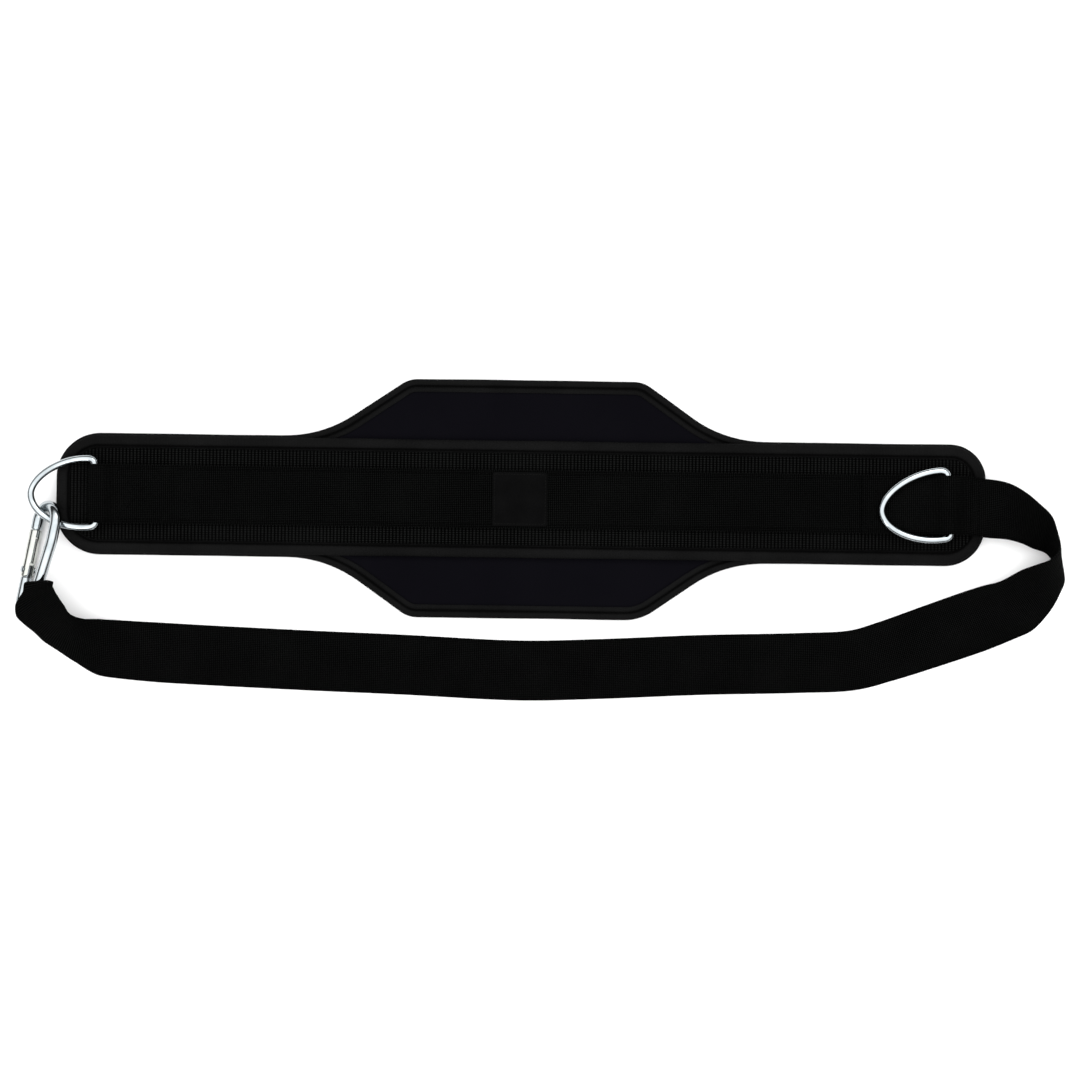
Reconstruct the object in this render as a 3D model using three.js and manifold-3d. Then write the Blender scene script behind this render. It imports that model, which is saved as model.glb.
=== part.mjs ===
// Dip belt for weighted dips and pull-ups, laid out flat with its load strap in front of it.
// Millimetres. +X runs along the belt, +Y to its upper edge, +Z up from the surface it lies on.
// The origin is the middle of the back pad's underside.
// A padded back piece with two lobes carries a padded belt band, a wide webbing and a narrow belt strap.
// A D-ring sits at each end, and the load strap runs from the right ring to a carabiner in the left ring.
import * as THREE from "three";
import { mergeVertices } from "three/addons/utils/BufferGeometryUtils.js";
import Module from "manifold-3d";

const wasm = await Module();
wasm.setup();

// Driving sizes
const belt = { length: 778, width: 102, endRadius: 37 };
const lobe = { reach: 49, topHalf: 93, footHalf: 168, topRadius: 24, footRadius: 105, aside: 1.2 };
const backPad = { thickness: 8 };
const band = { width: 98, endInset: 2.5, endRadius: 35, thickness: 6 };
const binding = { face: 10, cloth: 1.1, round: 2 };
const wideWebbing = { width: 76, thickness: 1.8, endInset: 10.5 };
const strap = { width: 49, thickness: 2.2 };
const label = { width: 46, height: 45, thickness: 0.8, cornerRadius: 1.5 };
const ring = { inside: 51, wire: 6, leg: 13, bow: 42, cornerRadius: 4.2 };
const leftRing = { barInset: 35, droop: 7, yaw: 1.5, aside: 0.5 };
const rightRing = { barInset: 32, yaw: 3.5, aside: 0.3 };
const tab = { length: 71.5, archHalf: 15, archRoom: 1.0 };
const strapFold = { tail: 58, step: 8, room: 0.9 };
const carabiner = {
  length: 98,
  wire: 9.5,
  wideEnd: 28,
  narrowEnd: 18.5,
  shoulder: 28,
  noseEnd: 21.5,
  pivot: 56,
  gateEnd: 62,
  turn: 10.9,
  tilt: 50,
  crownTrim: 0.2,
  heelShare: 0.86,
  heelTrim: 1.4,
  apexAlong: 38.2,
  apexAside: -11.4,
};
const gate = {
  wire: 10.2,
  forkLength: 12,
  tongue: 4.2,
  tongueWidth: 7.5,
  noseLength: 6.5,
  noseTongue: 3,
  tongueRoot: 2,
  swingRoom: 0.6,
};
const rivet = { shank: 3.4, head: 5.4, headHeight: 0.9 };
const clearance = 0.3;

// Heights of the layers, each resting on the one below with the clearance between them
const bandBottom = backPad.thickness + clearance;
const bandTop = bandBottom + band.thickness;
const wideBottom = bandTop + clearance;
const wideTop = wideBottom + wideWebbing.thickness;
const strapBottom = wideTop + clearance;
const strapTop = strapBottom + strap.thickness;
const overStrap = strapTop + clearance;

const halfLength = belt.length / 2;
const lobeHalf = belt.width / 2 + lobe.reach;
const wireHalf = ring.wire / 2;
const leftBar = -halfLength + leftRing.barInset;
const rightBar = halfLength - rightRing.barInset;
const foldRadius = wireHalf + strapFold.room + strap.thickness / 2;
const leftBarHeight = strapBottom + strap.thickness / 2 + foldRadius;
const rightRingHeight = overStrap + strap.thickness + clearance + wireHalf;

// Colours and finishes
const finish = (color, roughness, metalness = 0) =>
  new THREE.MeshStandardMaterial({ color, roughness, metalness });
const padCloth = finish(0x15141b, 0.95);
const bindingCloth = finish(0x18191a, 0.9);
const webbingCloth = finish(0x0e0f0f, 0.85);
const labelCloth = finish(0x1c1c1e, 0.6);
const zinc = finish(0xd5dade, 0.22, 1);

const group = new THREE.Group();

// Adds one geometry as a named mesh.
function add(name, geometry, material) {
  const mesh = new THREE.Mesh(geometry, material);
  mesh.name = name;
  group.add(mesh);
  return mesh;
}

const degrees = THREE.MathUtils.degToRad;

// A closed outline of corners [x, y, radius], each corner rounded by an arc in steps of the given angle.
function roundedOutline(corners, stepAngle = 9) {
  const points = [];
  const cornerAt = (i) => new THREE.Vector2(...corners[(i + corners.length) % corners.length]);
  corners.forEach(([, , radius], i) => {
    const corner = cornerAt(i);
    const before = cornerAt(i - 1).sub(corner).normalize();
    const after = cornerAt(i + 1).sub(corner).normalize();
    const half = Math.acos(THREE.MathUtils.clamp(before.dot(after), -1, 1)) / 2;
    const start = corner.clone().addScaledVector(before, radius / Math.tan(half));
    const inwards = before.clone().add(after).normalize();
    const centre = corner.clone().addScaledVector(inwards, radius / Math.sin(half));
    const turn = Math.sign(after.clone().cross(before)) * (Math.PI - 2 * half);
    const steps = Math.max(2, Math.round(Math.abs(turn) / degrees(stepAngle)));
    for (let k = 0; k <= steps; k++) points.push(start.clone().rotateAround(centre, (turn * k) / steps));
  });
  return points;
}

// The outline moved inwards along its normals, which suits outlines whose arcs are wider than the move.
function inset(outline, distance) {
  return outline.map((point, i) => {
    const before = outline[(i + outline.length - 1) % outline.length];
    const after = outline[(i + 1) % outline.length];
    const along = after.clone().sub(before).normalize();
    return new THREE.Vector2(point.x - along.y * distance, point.y + along.x * distance);
  });
}

// Breaks the long straight sides of an outline, so that its rings make even faces.
function withSteps(outline, longest) {
  return outline.flatMap((point, i) => {
    const next = outline[(i + 1) % outline.length];
    const steps = Math.max(1, Math.ceil(point.distanceTo(next) / longest));
    return Array.from({ length: steps }, (_, k) => point.clone().lerp(next, k / steps));
  });
}

// One closed body from rings of equally many points, with flat caps or, where it is a loop, none.
function skin(rings, loop = false) {
  const count = rings[0].length;
  const positions = rings.flat().flatMap((point) => [point.x, point.y, point.z]);
  const index = [];
  const bands = loop ? rings.length : rings.length - 1;
  for (let r = 0; r < bands; r++) {
    const next = (r + 1) % rings.length;
    for (let k = 0; k < count; k++) {
      const a = r * count + k;
      const b = r * count + ((k + 1) % count);
      const c = next * count + k;
      const d = next * count + ((k + 1) % count);
      index.push(a, b, d, a, d, c);
    }
  }
  const geometry = new THREE.BufferGeometry();
  if (!loop) {
    const planOf = (ring) => ring.map((point) => new THREE.Vector2(point.x, point.y));
    const last = (rings.length - 1) * count;
    capFaces(rings[0], planOf(rings[0])).forEach(([a, b, c]) => index.push(a, c, b));
    const endRing = rings.at(-1);
    capFaces(endRing, planOf(endRing)).forEach(([a, b, c]) => index.push(last + a, last + b, last + c));
  }
  geometry.setAttribute("position", new THREE.Float32BufferAttribute(positions, 3));
  geometry.setIndex(volumeOf(positions, index) < 0 ? index.reverse() : index);
  return geometry;
}

// Six times the volume inside the triangles, which is negative where they face inwards.
function volumeOf(positions, index) {
  const corner = (i) => new THREE.Vector3().fromArray(positions, 3 * i);
  let total = 0;
  for (let k = 0; k < index.length; k += 3) {
    total += corner(index[k]).dot(corner(index[k + 1]).cross(corner(index[k + 2])));
  }
  return total;
}

// Triangles of a cap: across the plan for a flat outline, and a fan for the small end of a sweep.
const mostSides = 12;
function capFaces(points, plan) {
  if (points.length > mostSides && Math.abs(THREE.ShapeUtils.area(plan)) > 1) {
    return THREE.ShapeUtils.triangulateShape(plan, []);
  }
  return Array.from({ length: points.length - 2 }, (_, k) => [0, k + 1, k + 2]);
}

// How much of the cloth's thickness its inner bend loses against the outer one.
const roundShare = 2 / 3;

// A pad of one outline: full height inside, and thinner under its binding.
function padBody(outline, bottom, top) {
  const rimDrop = binding.cloth + clearance;
  const shoulder = binding.face + 2 * clearance;
  const rimInset = binding.cloth + clearance;
  const chamfer = binding.round - binding.cloth * roundShare;
  const profile = [
    [shoulder + rimDrop, bottom],
    [shoulder, bottom + rimDrop],
    [rimInset + chamfer, bottom + rimDrop],
    [rimInset, bottom + rimDrop + chamfer],
    [rimInset, top - rimDrop - chamfer],
    [rimInset + chamfer, top - rimDrop],
    [shoulder, top - rimDrop],
    [shoulder + rimDrop, top],
  ];
  return skin(profile.map(([away, z]) => inset(outline, away).map((p) => new THREE.Vector3(p.x, p.y, z))));
}

// The folded cloth that wraps a pad's edge, a C in section that follows the outline all the way round.
function bindingBody(outline, bottom, top) {
  const { face, cloth, round } = binding;
  const chamfer = round - cloth * roundShare;
  const section = [
    [face, bottom],
    [round, bottom],
    [0, bottom + round],
    [0, top - round],
    [round, top],
    [face, top],
    [face, top - cloth],
    [cloth + chamfer, top - cloth],
    [cloth, top - cloth - chamfer],
    [cloth, bottom + cloth + chamfer],
    [cloth + chamfer, bottom + cloth],
    [face, bottom + cloth],
  ];
  const rings = section.map(([away, z]) => inset(outline, away).map((p) => new THREE.Vector3(p.x, p.y, z)));
  return skin(rings, true);
}

// Back pad, its outline worked out from the belt and the lobes
const { topHalf, footHalf, topRadius, footRadius, aside } = lobe;
const beltEdge = belt.width / 2;
const longestBackStep = 60;
const backOutline = withSteps(
  roundedOutline([
    [-halfLength, -beltEdge, belt.endRadius],
    [aside - footHalf, -beltEdge, footRadius],
    [aside - topHalf, -lobeHalf, topRadius],
    [aside + topHalf, -lobeHalf, topRadius],
    [aside + footHalf, -beltEdge, footRadius],
    [halfLength, -beltEdge, belt.endRadius],
    [halfLength, beltEdge, belt.endRadius],
    [aside + footHalf, beltEdge, footRadius],
    [aside + topHalf, lobeHalf, topRadius],
    [aside - topHalf, lobeHalf, topRadius],
    [aside - footHalf, beltEdge, footRadius],
    [-halfLength, beltEdge, belt.endRadius],
  ]),
  longestBackStep,
);
add("back_pad", padBody(backOutline, 0, backPad.thickness), padCloth);
add("back_pad_binding", bindingBody(backOutline, 0, backPad.thickness), bindingCloth);

// Belt band on the back pad
const bandHalf = halfLength - band.endInset;
const bandEdge = band.width / 2;
const longestBandStep = 70;
const bandOutline = withSteps(
  roundedOutline([
    [-bandHalf, -bandEdge, band.endRadius],
    [bandHalf, -bandEdge, band.endRadius],
    [bandHalf, bandEdge, band.endRadius],
    [-bandHalf, bandEdge, band.endRadius],
  ]),
  longestBandStep,
);
add("belt_pad", padBody(bandOutline, bandBottom, bandTop), padCloth);
add("belt_pad_binding", bindingBody(bandOutline, bandBottom, bandTop), bindingCloth);

// A flat plate with rounded corners, standing on a height.
function plate(outline, bottom, thickness) {
  const shape = new THREE.Shape(outline);
  return new THREE.ExtrudeGeometry(shape, { depth: thickness, bevelEnabled: false }).translate(0, 0, bottom);
}

// Wide webbing between the rims of the band's binding
const wideHalf = bandHalf - wideWebbing.endInset;
const wideEdge = wideWebbing.width / 2;
const wideRadius = band.endRadius - wideWebbing.endInset;
const wideOutline = roundedOutline([
  [-wideHalf, -wideEdge, wideRadius],
  [wideHalf, -wideEdge, wideRadius],
  [wideHalf, wideEdge, wideRadius],
  [-wideHalf, wideEdge, wideRadius],
]);
add("wide_webbing", plate(wideOutline, wideBottom, wideWebbing.thickness), webbingCloth);

// The outline of a thin band along a side-view route, from points [x, z].
function bandOutlineOf(route, thickness) {
  const along = (i) => {
    const before = route[Math.max(i - 1, 0)];
    const after = route[Math.min(i + 1, route.length - 1)];
    return new THREE.Vector2(after[0] - before[0], after[1] - before[1]).normalize();
  };
  const side = (sign) =>
    route.map(([x, z], i) => {
      const way = along(i);
      return new THREE.Vector2(x - (sign * way.y * thickness) / 2, z + (sign * way.x * thickness) / 2);
    });
  return [...side(1), ...side(-1).reverse()];
}

// A side-view outline drawn out across the belt, from -width / 2 to width / 2.
function acrossBelt(outline, width) {
  const shape = new THREE.Shape(outline);
  const geometry = new THREE.ExtrudeGeometry(shape, { depth: width, bevelEnabled: false });
  return geometry.translate(0, 0, -width / 2).rotateX(Math.PI / 2);
}

// Belt strap: flat on the wide webbing, folded round the left ring's bar, its tail tucked back under itself
const strapMiddle = strapBottom + strap.thickness / 2;
const foldTopMiddle = leftBarHeight + foldRadius;
const foldBottomMiddle = leftBarHeight - foldRadius;
const overTailMiddle = overStrap + strap.thickness / 2;
const foldSteps = 12;
const foldArc = Array.from({ length: foldSteps + 1 }, (_, k) => {
  const angle = -Math.PI / 2 - (Math.PI * k) / foldSteps;
  return [leftBar + foldRadius * Math.cos(angle), leftBarHeight + foldRadius * Math.sin(angle)];
});
// A smooth change of height between two places along the strap, as steps of a cosine.
const slope = (fromX, fromZ, toX, toZ, steps = 6) =>
  Array.from({ length: steps + 1 }, (_, k) => {
    const share = (1 - Math.cos((Math.PI * k) / steps)) / 2;
    return [fromX + ((toX - fromX) * k) / steps, fromZ + (toZ - fromZ) * share];
  });
const tailEnd = leftBar + strapFold.tail;
const strapRoute = [
  [tailEnd, foldBottomMiddle],
  ...foldArc,
  ...slope(leftBar + foldRadius, foldTopMiddle, leftBar + 3 * foldRadius, overTailMiddle).slice(1),
  ...slope(tailEnd + clearance, overTailMiddle, tailEnd + strapFold.step, strapMiddle),
  [halfLength - wideWebbing.endInset, strapMiddle],
];
add("belt_strap", acrossBelt(bandOutlineOf(strapRoute, strap.thickness), strap.width), webbingCloth);

// Label patch sewn to the middle of the belt strap
const labelStepAngle = 30;
const labelOutline = roundedOutline(
  [
    [-label.width / 2, -label.height / 2, label.cornerRadius],
    [label.width / 2, -label.height / 2, label.cornerRadius],
    [label.width / 2, label.height / 2, label.cornerRadius],
    [-label.width / 2, label.height / 2, label.cornerRadius],
  ],
  labelStepAngle,
);
add("label_patch", plate(labelOutline, overStrap, label.thickness), labelCloth);

// A D-ring in its own plane: its bar on the local Y axis, its bow towards -X.
function ringGeometry() {
  const half = ring.inside / 2 + wireHalf;
  const corner = ring.cornerRadius;
  const path = [];
  const cornerSteps = 4;
  for (let k = 0; k <= cornerSteps; k++) {
    const angle = (Math.PI / 2) * (k / cornerSteps);
    path.push([-corner + corner * Math.cos(angle), half - corner + corner * Math.sin(angle)]);
  }
  const bowSteps = 22;
  for (let k = 0; k <= bowSteps; k++) {
    const angle = Math.PI / 2 + (Math.PI * k) / bowSteps;
    path.push([-ring.leg + ring.bow * Math.cos(angle), half * Math.sin(angle)]);
  }
  for (let k = 0; k <= cornerSteps; k++) {
    const angle = -Math.PI / 2 + (Math.PI / 2) * (k / cornerSteps);
    path.push([-corner + corner * Math.cos(angle), -half + corner + corner * Math.sin(angle)]);
  }
  const sides = 10;
  const rings = path.map(([x, y], i) => {
    const before = path[(i + path.length - 1) % path.length];
    const after = path[(i + 1) % path.length];
    const out = new THREE.Vector2(after[1] - before[1], before[0] - after[0]).normalize();
    return Array.from({ length: sides }, (_, k) => {
      const angle = (2 * Math.PI * k) / sides;
      const away = wireHalf * Math.cos(angle);
      return new THREE.Vector3(x + out.x * away, y + out.y * away, wireHalf * Math.sin(angle));
    });
  });
  return skin(rings, true);
}

// Left ring, held in the strap's fold and drooping a little past the belt's end
const leftD = add("left_d_ring", ringGeometry(), zinc);
leftD.rotation.set(0, -degrees(leftRing.droop), degrees(leftRing.yaw), "ZYX");
leftD.position.set(leftBar, leftRing.aside, leftBarHeight);

// Right ring, lying on the load strap's sewn tab
const rightD = add("right_d_ring", ringGeometry(), zinc);
rightD.rotation.set(0, 0, degrees(rightRing.yaw), "ZYX");
rightD.position.set(rightBar, rightRing.aside, rightRingHeight);

// Carabiner frame: u runs down its gate limb, v from the gate to the spine, n out of its plane and upwards
const turn = degrees(carabiner.turn);
const tilt = degrees(carabiner.tilt);
const uWay = new THREE.Vector3(-Math.sin(turn), -Math.cos(turn), 0);
const vWay = new THREE.Vector3(Math.cos(turn), -Math.sin(turn), Math.tan(tilt)).normalize();
const nWay = new THREE.Vector3().crossVectors(uWay, vWay);
const limbHalf = carabiner.wire / 2;
const gateHalf = gate.wire / 2;
const apex = new THREE.Vector3(leftBar - carabiner.apexAlong, carabiner.apexAside, 0);
// The rivet's lower head is what comes nearest to the surface.
const headTop = gateHalf + clearance + rivet.headHeight;
const rivetReach = headTop * Math.cos(tilt) + (rivet.head / 2) * Math.sin(tilt);
apex.z = rivetReach + clearance + (carabiner.wideEnd / 2) * Math.sin(tilt);
const gateTop = apex.clone().addScaledVector(vWay, -carabiner.wideEnd / 2);
const place = (u, v, n) => {
  return gateTop.clone().addScaledVector(uWay, u).addScaledVector(vWay, v).addScaledVector(nWay, n);
};
const carabinerFrame = new THREE.Matrix4().makeBasis(uWay, vWay, nWay).setPosition(gateTop);

// A closed mesh as a solid that can be joined and cut.
function solid(geometry) {
  const bare = geometry.clone();
  bare.deleteAttribute("normal");
  bare.deleteAttribute("uv");
  const merged = mergeVertices(bare, 1e-4);
  const triVerts = new Uint32Array(merged.index.array);
  const vertProperties = new Float32Array(merged.attributes.position.array);
  return new wasm.Manifold(new wasm.Mesh({ numProp: 3, vertProperties, triVerts }));
}

// A solid back as a geometry.
function geometryOf(body) {
  const mesh = body.getMesh();
  const geometry = new THREE.BufferGeometry();
  geometry.setAttribute("position", new THREE.Float32BufferAttribute(mesh.vertProperties, 3));
  geometry.setIndex([...mesh.triVerts]);
  return geometry;
}

// A round rod along points of a plane z = 0, with closed ends.
function rod(points, radius, sides = 12) {
  const rings = points.map((point, i) => {
    const before = points[Math.max(i - 1, 0)];
    const after = points[Math.min(i + 1, points.length - 1)];
    const way = new THREE.Vector2(after.x - before.x, after.y - before.y).normalize();
    return Array.from({ length: sides }, (_, k) => {
      const angle = (2 * Math.PI * (k + 0.5)) / sides;
      const away = radius * Math.cos(angle);
      return new THREE.Vector3(point.x + way.y * away, point.y - way.x * away, radius * Math.sin(angle));
    });
  });
  return skin(rings);
}

const box = (x0, x1, y0, y1, z0, z1) =>
  new THREE.BoxGeometry(x1 - x0, y1 - y0, z1 - z0).translate((x0 + x1) / 2, (y0 + y1) / 2, (z0 + z1) / 2);
const pinAlongN = (x, y, radius, height, sides = 16) =>
  new THREE.CylinderGeometry(radius, radius, height, sides).rotateX(Math.PI / 2).translate(x, y, 0);

// Carabiner body in its own frame, x down the gate limb and y to the spine
const bodyLength = carabiner.length - carabiner.wire;
const { wideEnd, narrowEnd, shoulder, noseEnd, pivot, gateEnd } = carabiner;
const crownRadius = wideEnd / 2 - carabiner.crownTrim;
const heelRadius = narrowEnd / 2 - carabiner.heelTrim;
const loopStepAngle = 12;
const wholeLoop = roundedOutline(
  [
    [bodyLength, 0, heelRadius],
    [bodyLength, narrowEnd * carabiner.heelShare, heelRadius],
    [bodyLength - narrowEnd / 2, narrowEnd, narrowEnd],
    [shoulder, wideEnd, wideEnd],
    [0, wideEnd, crownRadius],
    [0, 0, crownRadius],
  ],
  loopStepAngle,
);
// The loop runs from the gate's lower end round the heel, up the spine and round the crown to the nose.
const bodyPath = [new THREE.Vector2(gateEnd + clearance, 0), ...wholeLoop, new THREE.Vector2(noseEnd, 0)];
const hingeTongue = box(
  pivot - gate.tongueWidth / 2,
  gateEnd + gate.tongueRoot,
  -gate.tongueWidth / 2,
  gate.tongueWidth / 2,
  -gate.tongue / 2,
  gate.tongue / 2,
);
const noseTongue = box(
  noseEnd - gate.tongueRoot,
  noseEnd + gate.noseLength,
  -gate.noseTongue,
  gate.noseTongue,
  -gate.noseTongue / 2,
  gate.noseTongue / 2,
);
const rivetBore = pinAlongN(pivot, 0, rivet.shank / 2 + clearance, gate.wire * 2);
const bodySolid = solid(rod(bodyPath, limbHalf)).add(solid(hingeTongue)).add(solid(noseTongue));
add("carabiner_body", geometryOf(bodySolid.subtract(solid(rivetBore))), zinc).applyMatrix4(carabinerFrame);

// Gate: a rod with a fork round the body's tongue and a slot for the nose
const gateStart = noseEnd + gate.swingRoom;
const gateRod = rod([new THREE.Vector2(gateStart, 0), new THREE.Vector2(gateEnd, 0)], gateHalf);
// Past the pivot the fork is round about it, so that it swings clear of the limb below.
const forkEnd = solid(box(pivot, gateEnd + 1, -gateHalf - 1, gateHalf + 1, -gateHalf - 1, gateHalf + 1));
const forkRound = solid(pinAlongN(pivot, 0, gateEnd - pivot, gate.wire * 2, 32));
const forkSlot = box(
  gateEnd - gate.forkLength,
  gateEnd + 1,
  -gateHalf - 1,
  gateHalf + 1,
  -gate.tongue / 2 - clearance,
  gate.tongue / 2 + clearance,
);
const noseSlot = box(
  gateStart - 1,
  gateStart + gate.noseLength + gate.swingRoom,
  -gateHalf - 1,
  gateHalf + 1,
  -gate.noseTongue / 2 - clearance,
  gate.noseTongue / 2 + clearance,
);
const gateSolid = solid(gateRod)
  .subtract(forkEnd.subtract(forkRound))
  .subtract(solid(forkSlot))
  .subtract(solid(noseSlot))
  .subtract(solid(rivetBore));
add("carabiner_gate", geometryOf(gateSolid), zinc).applyMatrix4(carabinerFrame);

// Rivet through the fork and the tongue, with a low head on each side
const headMiddle = gateHalf + clearance + rivet.headHeight / 2;
const shank = solid(pinAlongN(pivot, 0, rivet.shank / 2, 2 * headMiddle));
const headShape = pinAlongN(pivot, 0, rivet.head / 2, rivet.headHeight);
const rivetSolid = shank
  .add(solid(headShape.clone().translate(0, 0, headMiddle)))
  .add(solid(headShape.clone().translate(0, 0, -headMiddle)));
add("gate_rivet", geometryOf(rivetSolid), zinc).applyMatrix4(carabinerFrame);

// Load strap
// A station has the middle of the strap, the way across it towards its inner edge, its width and thickness.
const station = (middle, across, width = strap.width, thickness = strap.thickness) => {
  return { middle, across: across.clone().normalize(), width, thickness };
};

// Tab and arch: flat on the belt strap, over the right ring's bar and on to the belt's end
const tabMiddle = overStrap + strap.thickness / 2;
const archRise = rightRingHeight + wireHalf + tab.archRoom + strap.thickness / 2 - tabMiddle;
const acrossY = new THREE.Vector3(0, 1, 0);
const tabStart = rightBar - tab.length;
const archSteps = 14;
const tabStations = [station(new THREE.Vector3(tabStart, 0, tabMiddle), acrossY)];
for (let k = 0; k <= archSteps; k++) {
  const from = -1 + (2 * k) / archSteps;
  const height = (archRise * (1 + Math.cos(Math.PI * from))) / 2;
  tabStations.push(station(new THREE.Vector3(rightBar + from * tab.archHalf, 0, tabMiddle + height), acrossY));
}

// Route past the belt's end, on its edge round the turn and back flat along the surface.
// x in half belt lengths, y in lobe halves, lift in tab heights, across is its compass angle, lean its rise.
const route = [
  { x: 0.995, y: -0.02, lift: 1.0, across: 90, lean: 0 },
  { x: 1.046, y: -0.046, lift: 0.72, across: 92, lean: 18 },
  { x: 1.08, y: -0.099, lift: 0.45, across: 92, lean: 31 },
  { x: 1.104, y: -0.157, lift: 0.2, across: 93, lean: 42 },
  { x: 1.1275, y: -0.239, lift: 0.04, across: 95, lean: 53 },
  { x: 1.142, y: -0.329, lift: 0, across: 101, lean: 60 },
  { x: 1.158, y: -0.428, lift: 0, across: 122, lean: 68 },
  { x: 1.153, y: -0.53, lift: 0, across: 138, lean: 59 },
  { x: 1.138, y: -0.606, lift: 0, across: 137, lean: 47 },
  { x: 1.1145, y: -0.71, lift: 0, across: 130, lean: 30 },
  { x: 1.072, y: -0.842, lift: 0.03, across: 125.5, lean: 14 },
  { x: 1.0355, y: -0.907, lift: 0.04, across: 122, lean: 6 },
  { x: 0.978, y: -0.99, lift: 0.03, across: 114, lean: 2 },
  { x: 0.8865, y: -1.106, lift: 0, across: 108, lean: 0 },
  { x: 0.796, y: -1.234, lift: 0, across: 103, lean: 0 },
  { x: 0.7235, y: -1.311, lift: 0, across: 96, lean: 0 },
  { x: 0.609, y: -1.34, lift: 0, across: 91, lean: 0 },
  { x: 0.3935, y: -1.369, lift: 0, across: 90, lean: 0 },
  { x: 0.1775, y: -1.414, lift: 0, across: 90, lean: 0 },
  { x: 0.005, y: -1.436, lift: 0, across: 90, lean: 0 },
  { x: -0.254, y: -1.4, lift: 0, across: 90, lean: 0 },
  { x: -0.47, y: -1.374, lift: 0, across: 90, lean: 0 },
  { x: -0.773, y: -1.327, lift: 0, across: 90, lean: 0 },
];
const leaningWay = (across, lean) => {
  const compass = new THREE.Vector3(Math.cos(degrees(across)), Math.sin(degrees(across)), 0);
  return compass.multiplyScalar(Math.cos(degrees(lean))).setZ(Math.sin(degrees(lean)));
};
// The middle height of a strap that stands on its lower edge.
const standing = (lean) =>
  (strap.width / 2) * Math.sin(degrees(lean)) + (strap.thickness / 2) * Math.cos(degrees(lean));
const routeStations = route.map(({ x, y, lift, across, lean }) => {
  const height = lift * (tabMiddle - strap.thickness / 2) + standing(lean);
  return station(new THREE.Vector3(x * halfLength, y * lobeHalf, height), leaningWay(across, lean));
});

// Rise to the carabiner, each row its two edges from the end of the carabiner's narrow bend.
// All in strap widths: inner edge x, y and z, then outer edge x, y and z.
const bendEnd = place(bodyLength, narrowEnd / 2, 0).setZ(0);
const rise = [
  { ix: 1.58, iy: -0.15, iz: 0.05, ox: 1.58, oy: -1.19, oz: 0.03 },
  { ix: 1.26, iy: -0.15, iz: 0.22, ox: 1.2, oy: -1.11, oz: 0.03 },
  { ix: 1.05, iy: -0.15, iz: 0.5, ox: 0.84, oy: -0.9, oz: 0.04 },
  { ix: 0.91, iy: -0.11, iz: 0.68, ox: 0.53, oy: -0.7, oz: 0.06 },
  { ix: 0.81, iy: -0.04, iz: 0.76, ox: 0.29, oy: -0.54, oz: 0.1 },
  { ix: 0.74, iy: 0.08, iz: 0.8, ox: 0.14, oy: -0.39, oz: 0.16 },
  { ix: 0.64, iy: 0.23, iz: 0.83, ox: -0.03, oy: -0.27, oz: 0.27 },
  { ix: 0.57, iy: 0.36, iz: 0.85, ox: -0.14, oy: -0.11, oz: 0.41 },
  { ix: 0.54, iy: 0.45, iz: 0.82, ox: -0.15, oy: 0.09, oz: 0.48 },
  { ix: 0.53, iy: 0.49, iz: 0.78, ox: -0.06, oy: 0.3, oz: 0.52 },
  { ix: 0.48, iy: 0.51, iz: 0.71, ox: 0, oy: 0.45, oz: 0.53 },
];
const riseStations = rise.map(({ ix, iy, iz, ox, oy, oz }) => {
  const inner = new THREE.Vector3(ix, iy, iz).multiplyScalar(strap.width).add(bendEnd);
  const outer = new THREE.Vector3(ox, oy, oz).multiplyScalar(strap.width).add(bendEnd);
  const middle = inner.clone().lerp(outer, 0.5);
  return station(middle, inner.clone().sub(outer), Math.min(inner.distanceTo(outer), strap.width));
});

// Smooth stations between the given ones.
function smoothed(stations, steps) {
  const middles = new THREE.CatmullRomCurve3(stations.map((s) => s.middle), false, "centripetal");
  const ways = new THREE.CatmullRomCurve3(stations.map((s) => s.across), false, "centripetal");
  const spans = stations.length - 1;
  return Array.from({ length: spans * steps + 1 }, (_, k) => {
    const share = k / (spans * steps);
    const span = Math.min(Math.floor(share * spans), spans - 1);
    const within = share * spans - span;
    const mix = (key) => stations[span][key] * (1 - within) + stations[span + 1][key] * within;
    return station(middles.getPoint(share), ways.getPoint(share), mix("width"), mix("thickness"));
  });
}

// A band through stations: four corners a station, its flat sides square to the way it runs.
function ribbon(stations) {
  const rings = stations.map(({ middle, across, width, thickness }, i) => {
    const before = stations[Math.max(i - 1, 0)].middle;
    const after = stations[Math.min(i + 1, stations.length - 1)].middle;
    const way = after.clone().sub(before).normalize();
    const up = new THREE.Vector3().crossVectors(way, across).normalize();
    const sideways = across.clone().multiplyScalar(width / 2);
    const upwards = up.multiplyScalar(thickness / 2);
    const corner = (a, b) => middle.clone().addScaledVector(sideways, a).addScaledVector(upwards, b);
    return [corner(1, 1), corner(1, -1), corner(-1, -1), corner(-1, 1)];
  });
  return skin(rings);
}

// The strap lies on the surface: a smoothed station that dips under it is raised onto it.
function onSurface(item) {
  const flat = Math.hypot(item.across.x, item.across.y);
  const lowest = item.middle.z - (item.width / 2) * Math.abs(item.across.z) - (item.thickness / 2) * flat;
  const middle = item.middle.clone().add(new THREE.Vector3(0, 0, Math.max(0, -lowest)));
  return { ...item, middle };
}
const freeSteps = 4;
const freeStations = smoothed([...routeStations, ...riseStations], freeSteps).map(onSurface);
const strapSpine = [...tabStations, ...freeStations];

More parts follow.
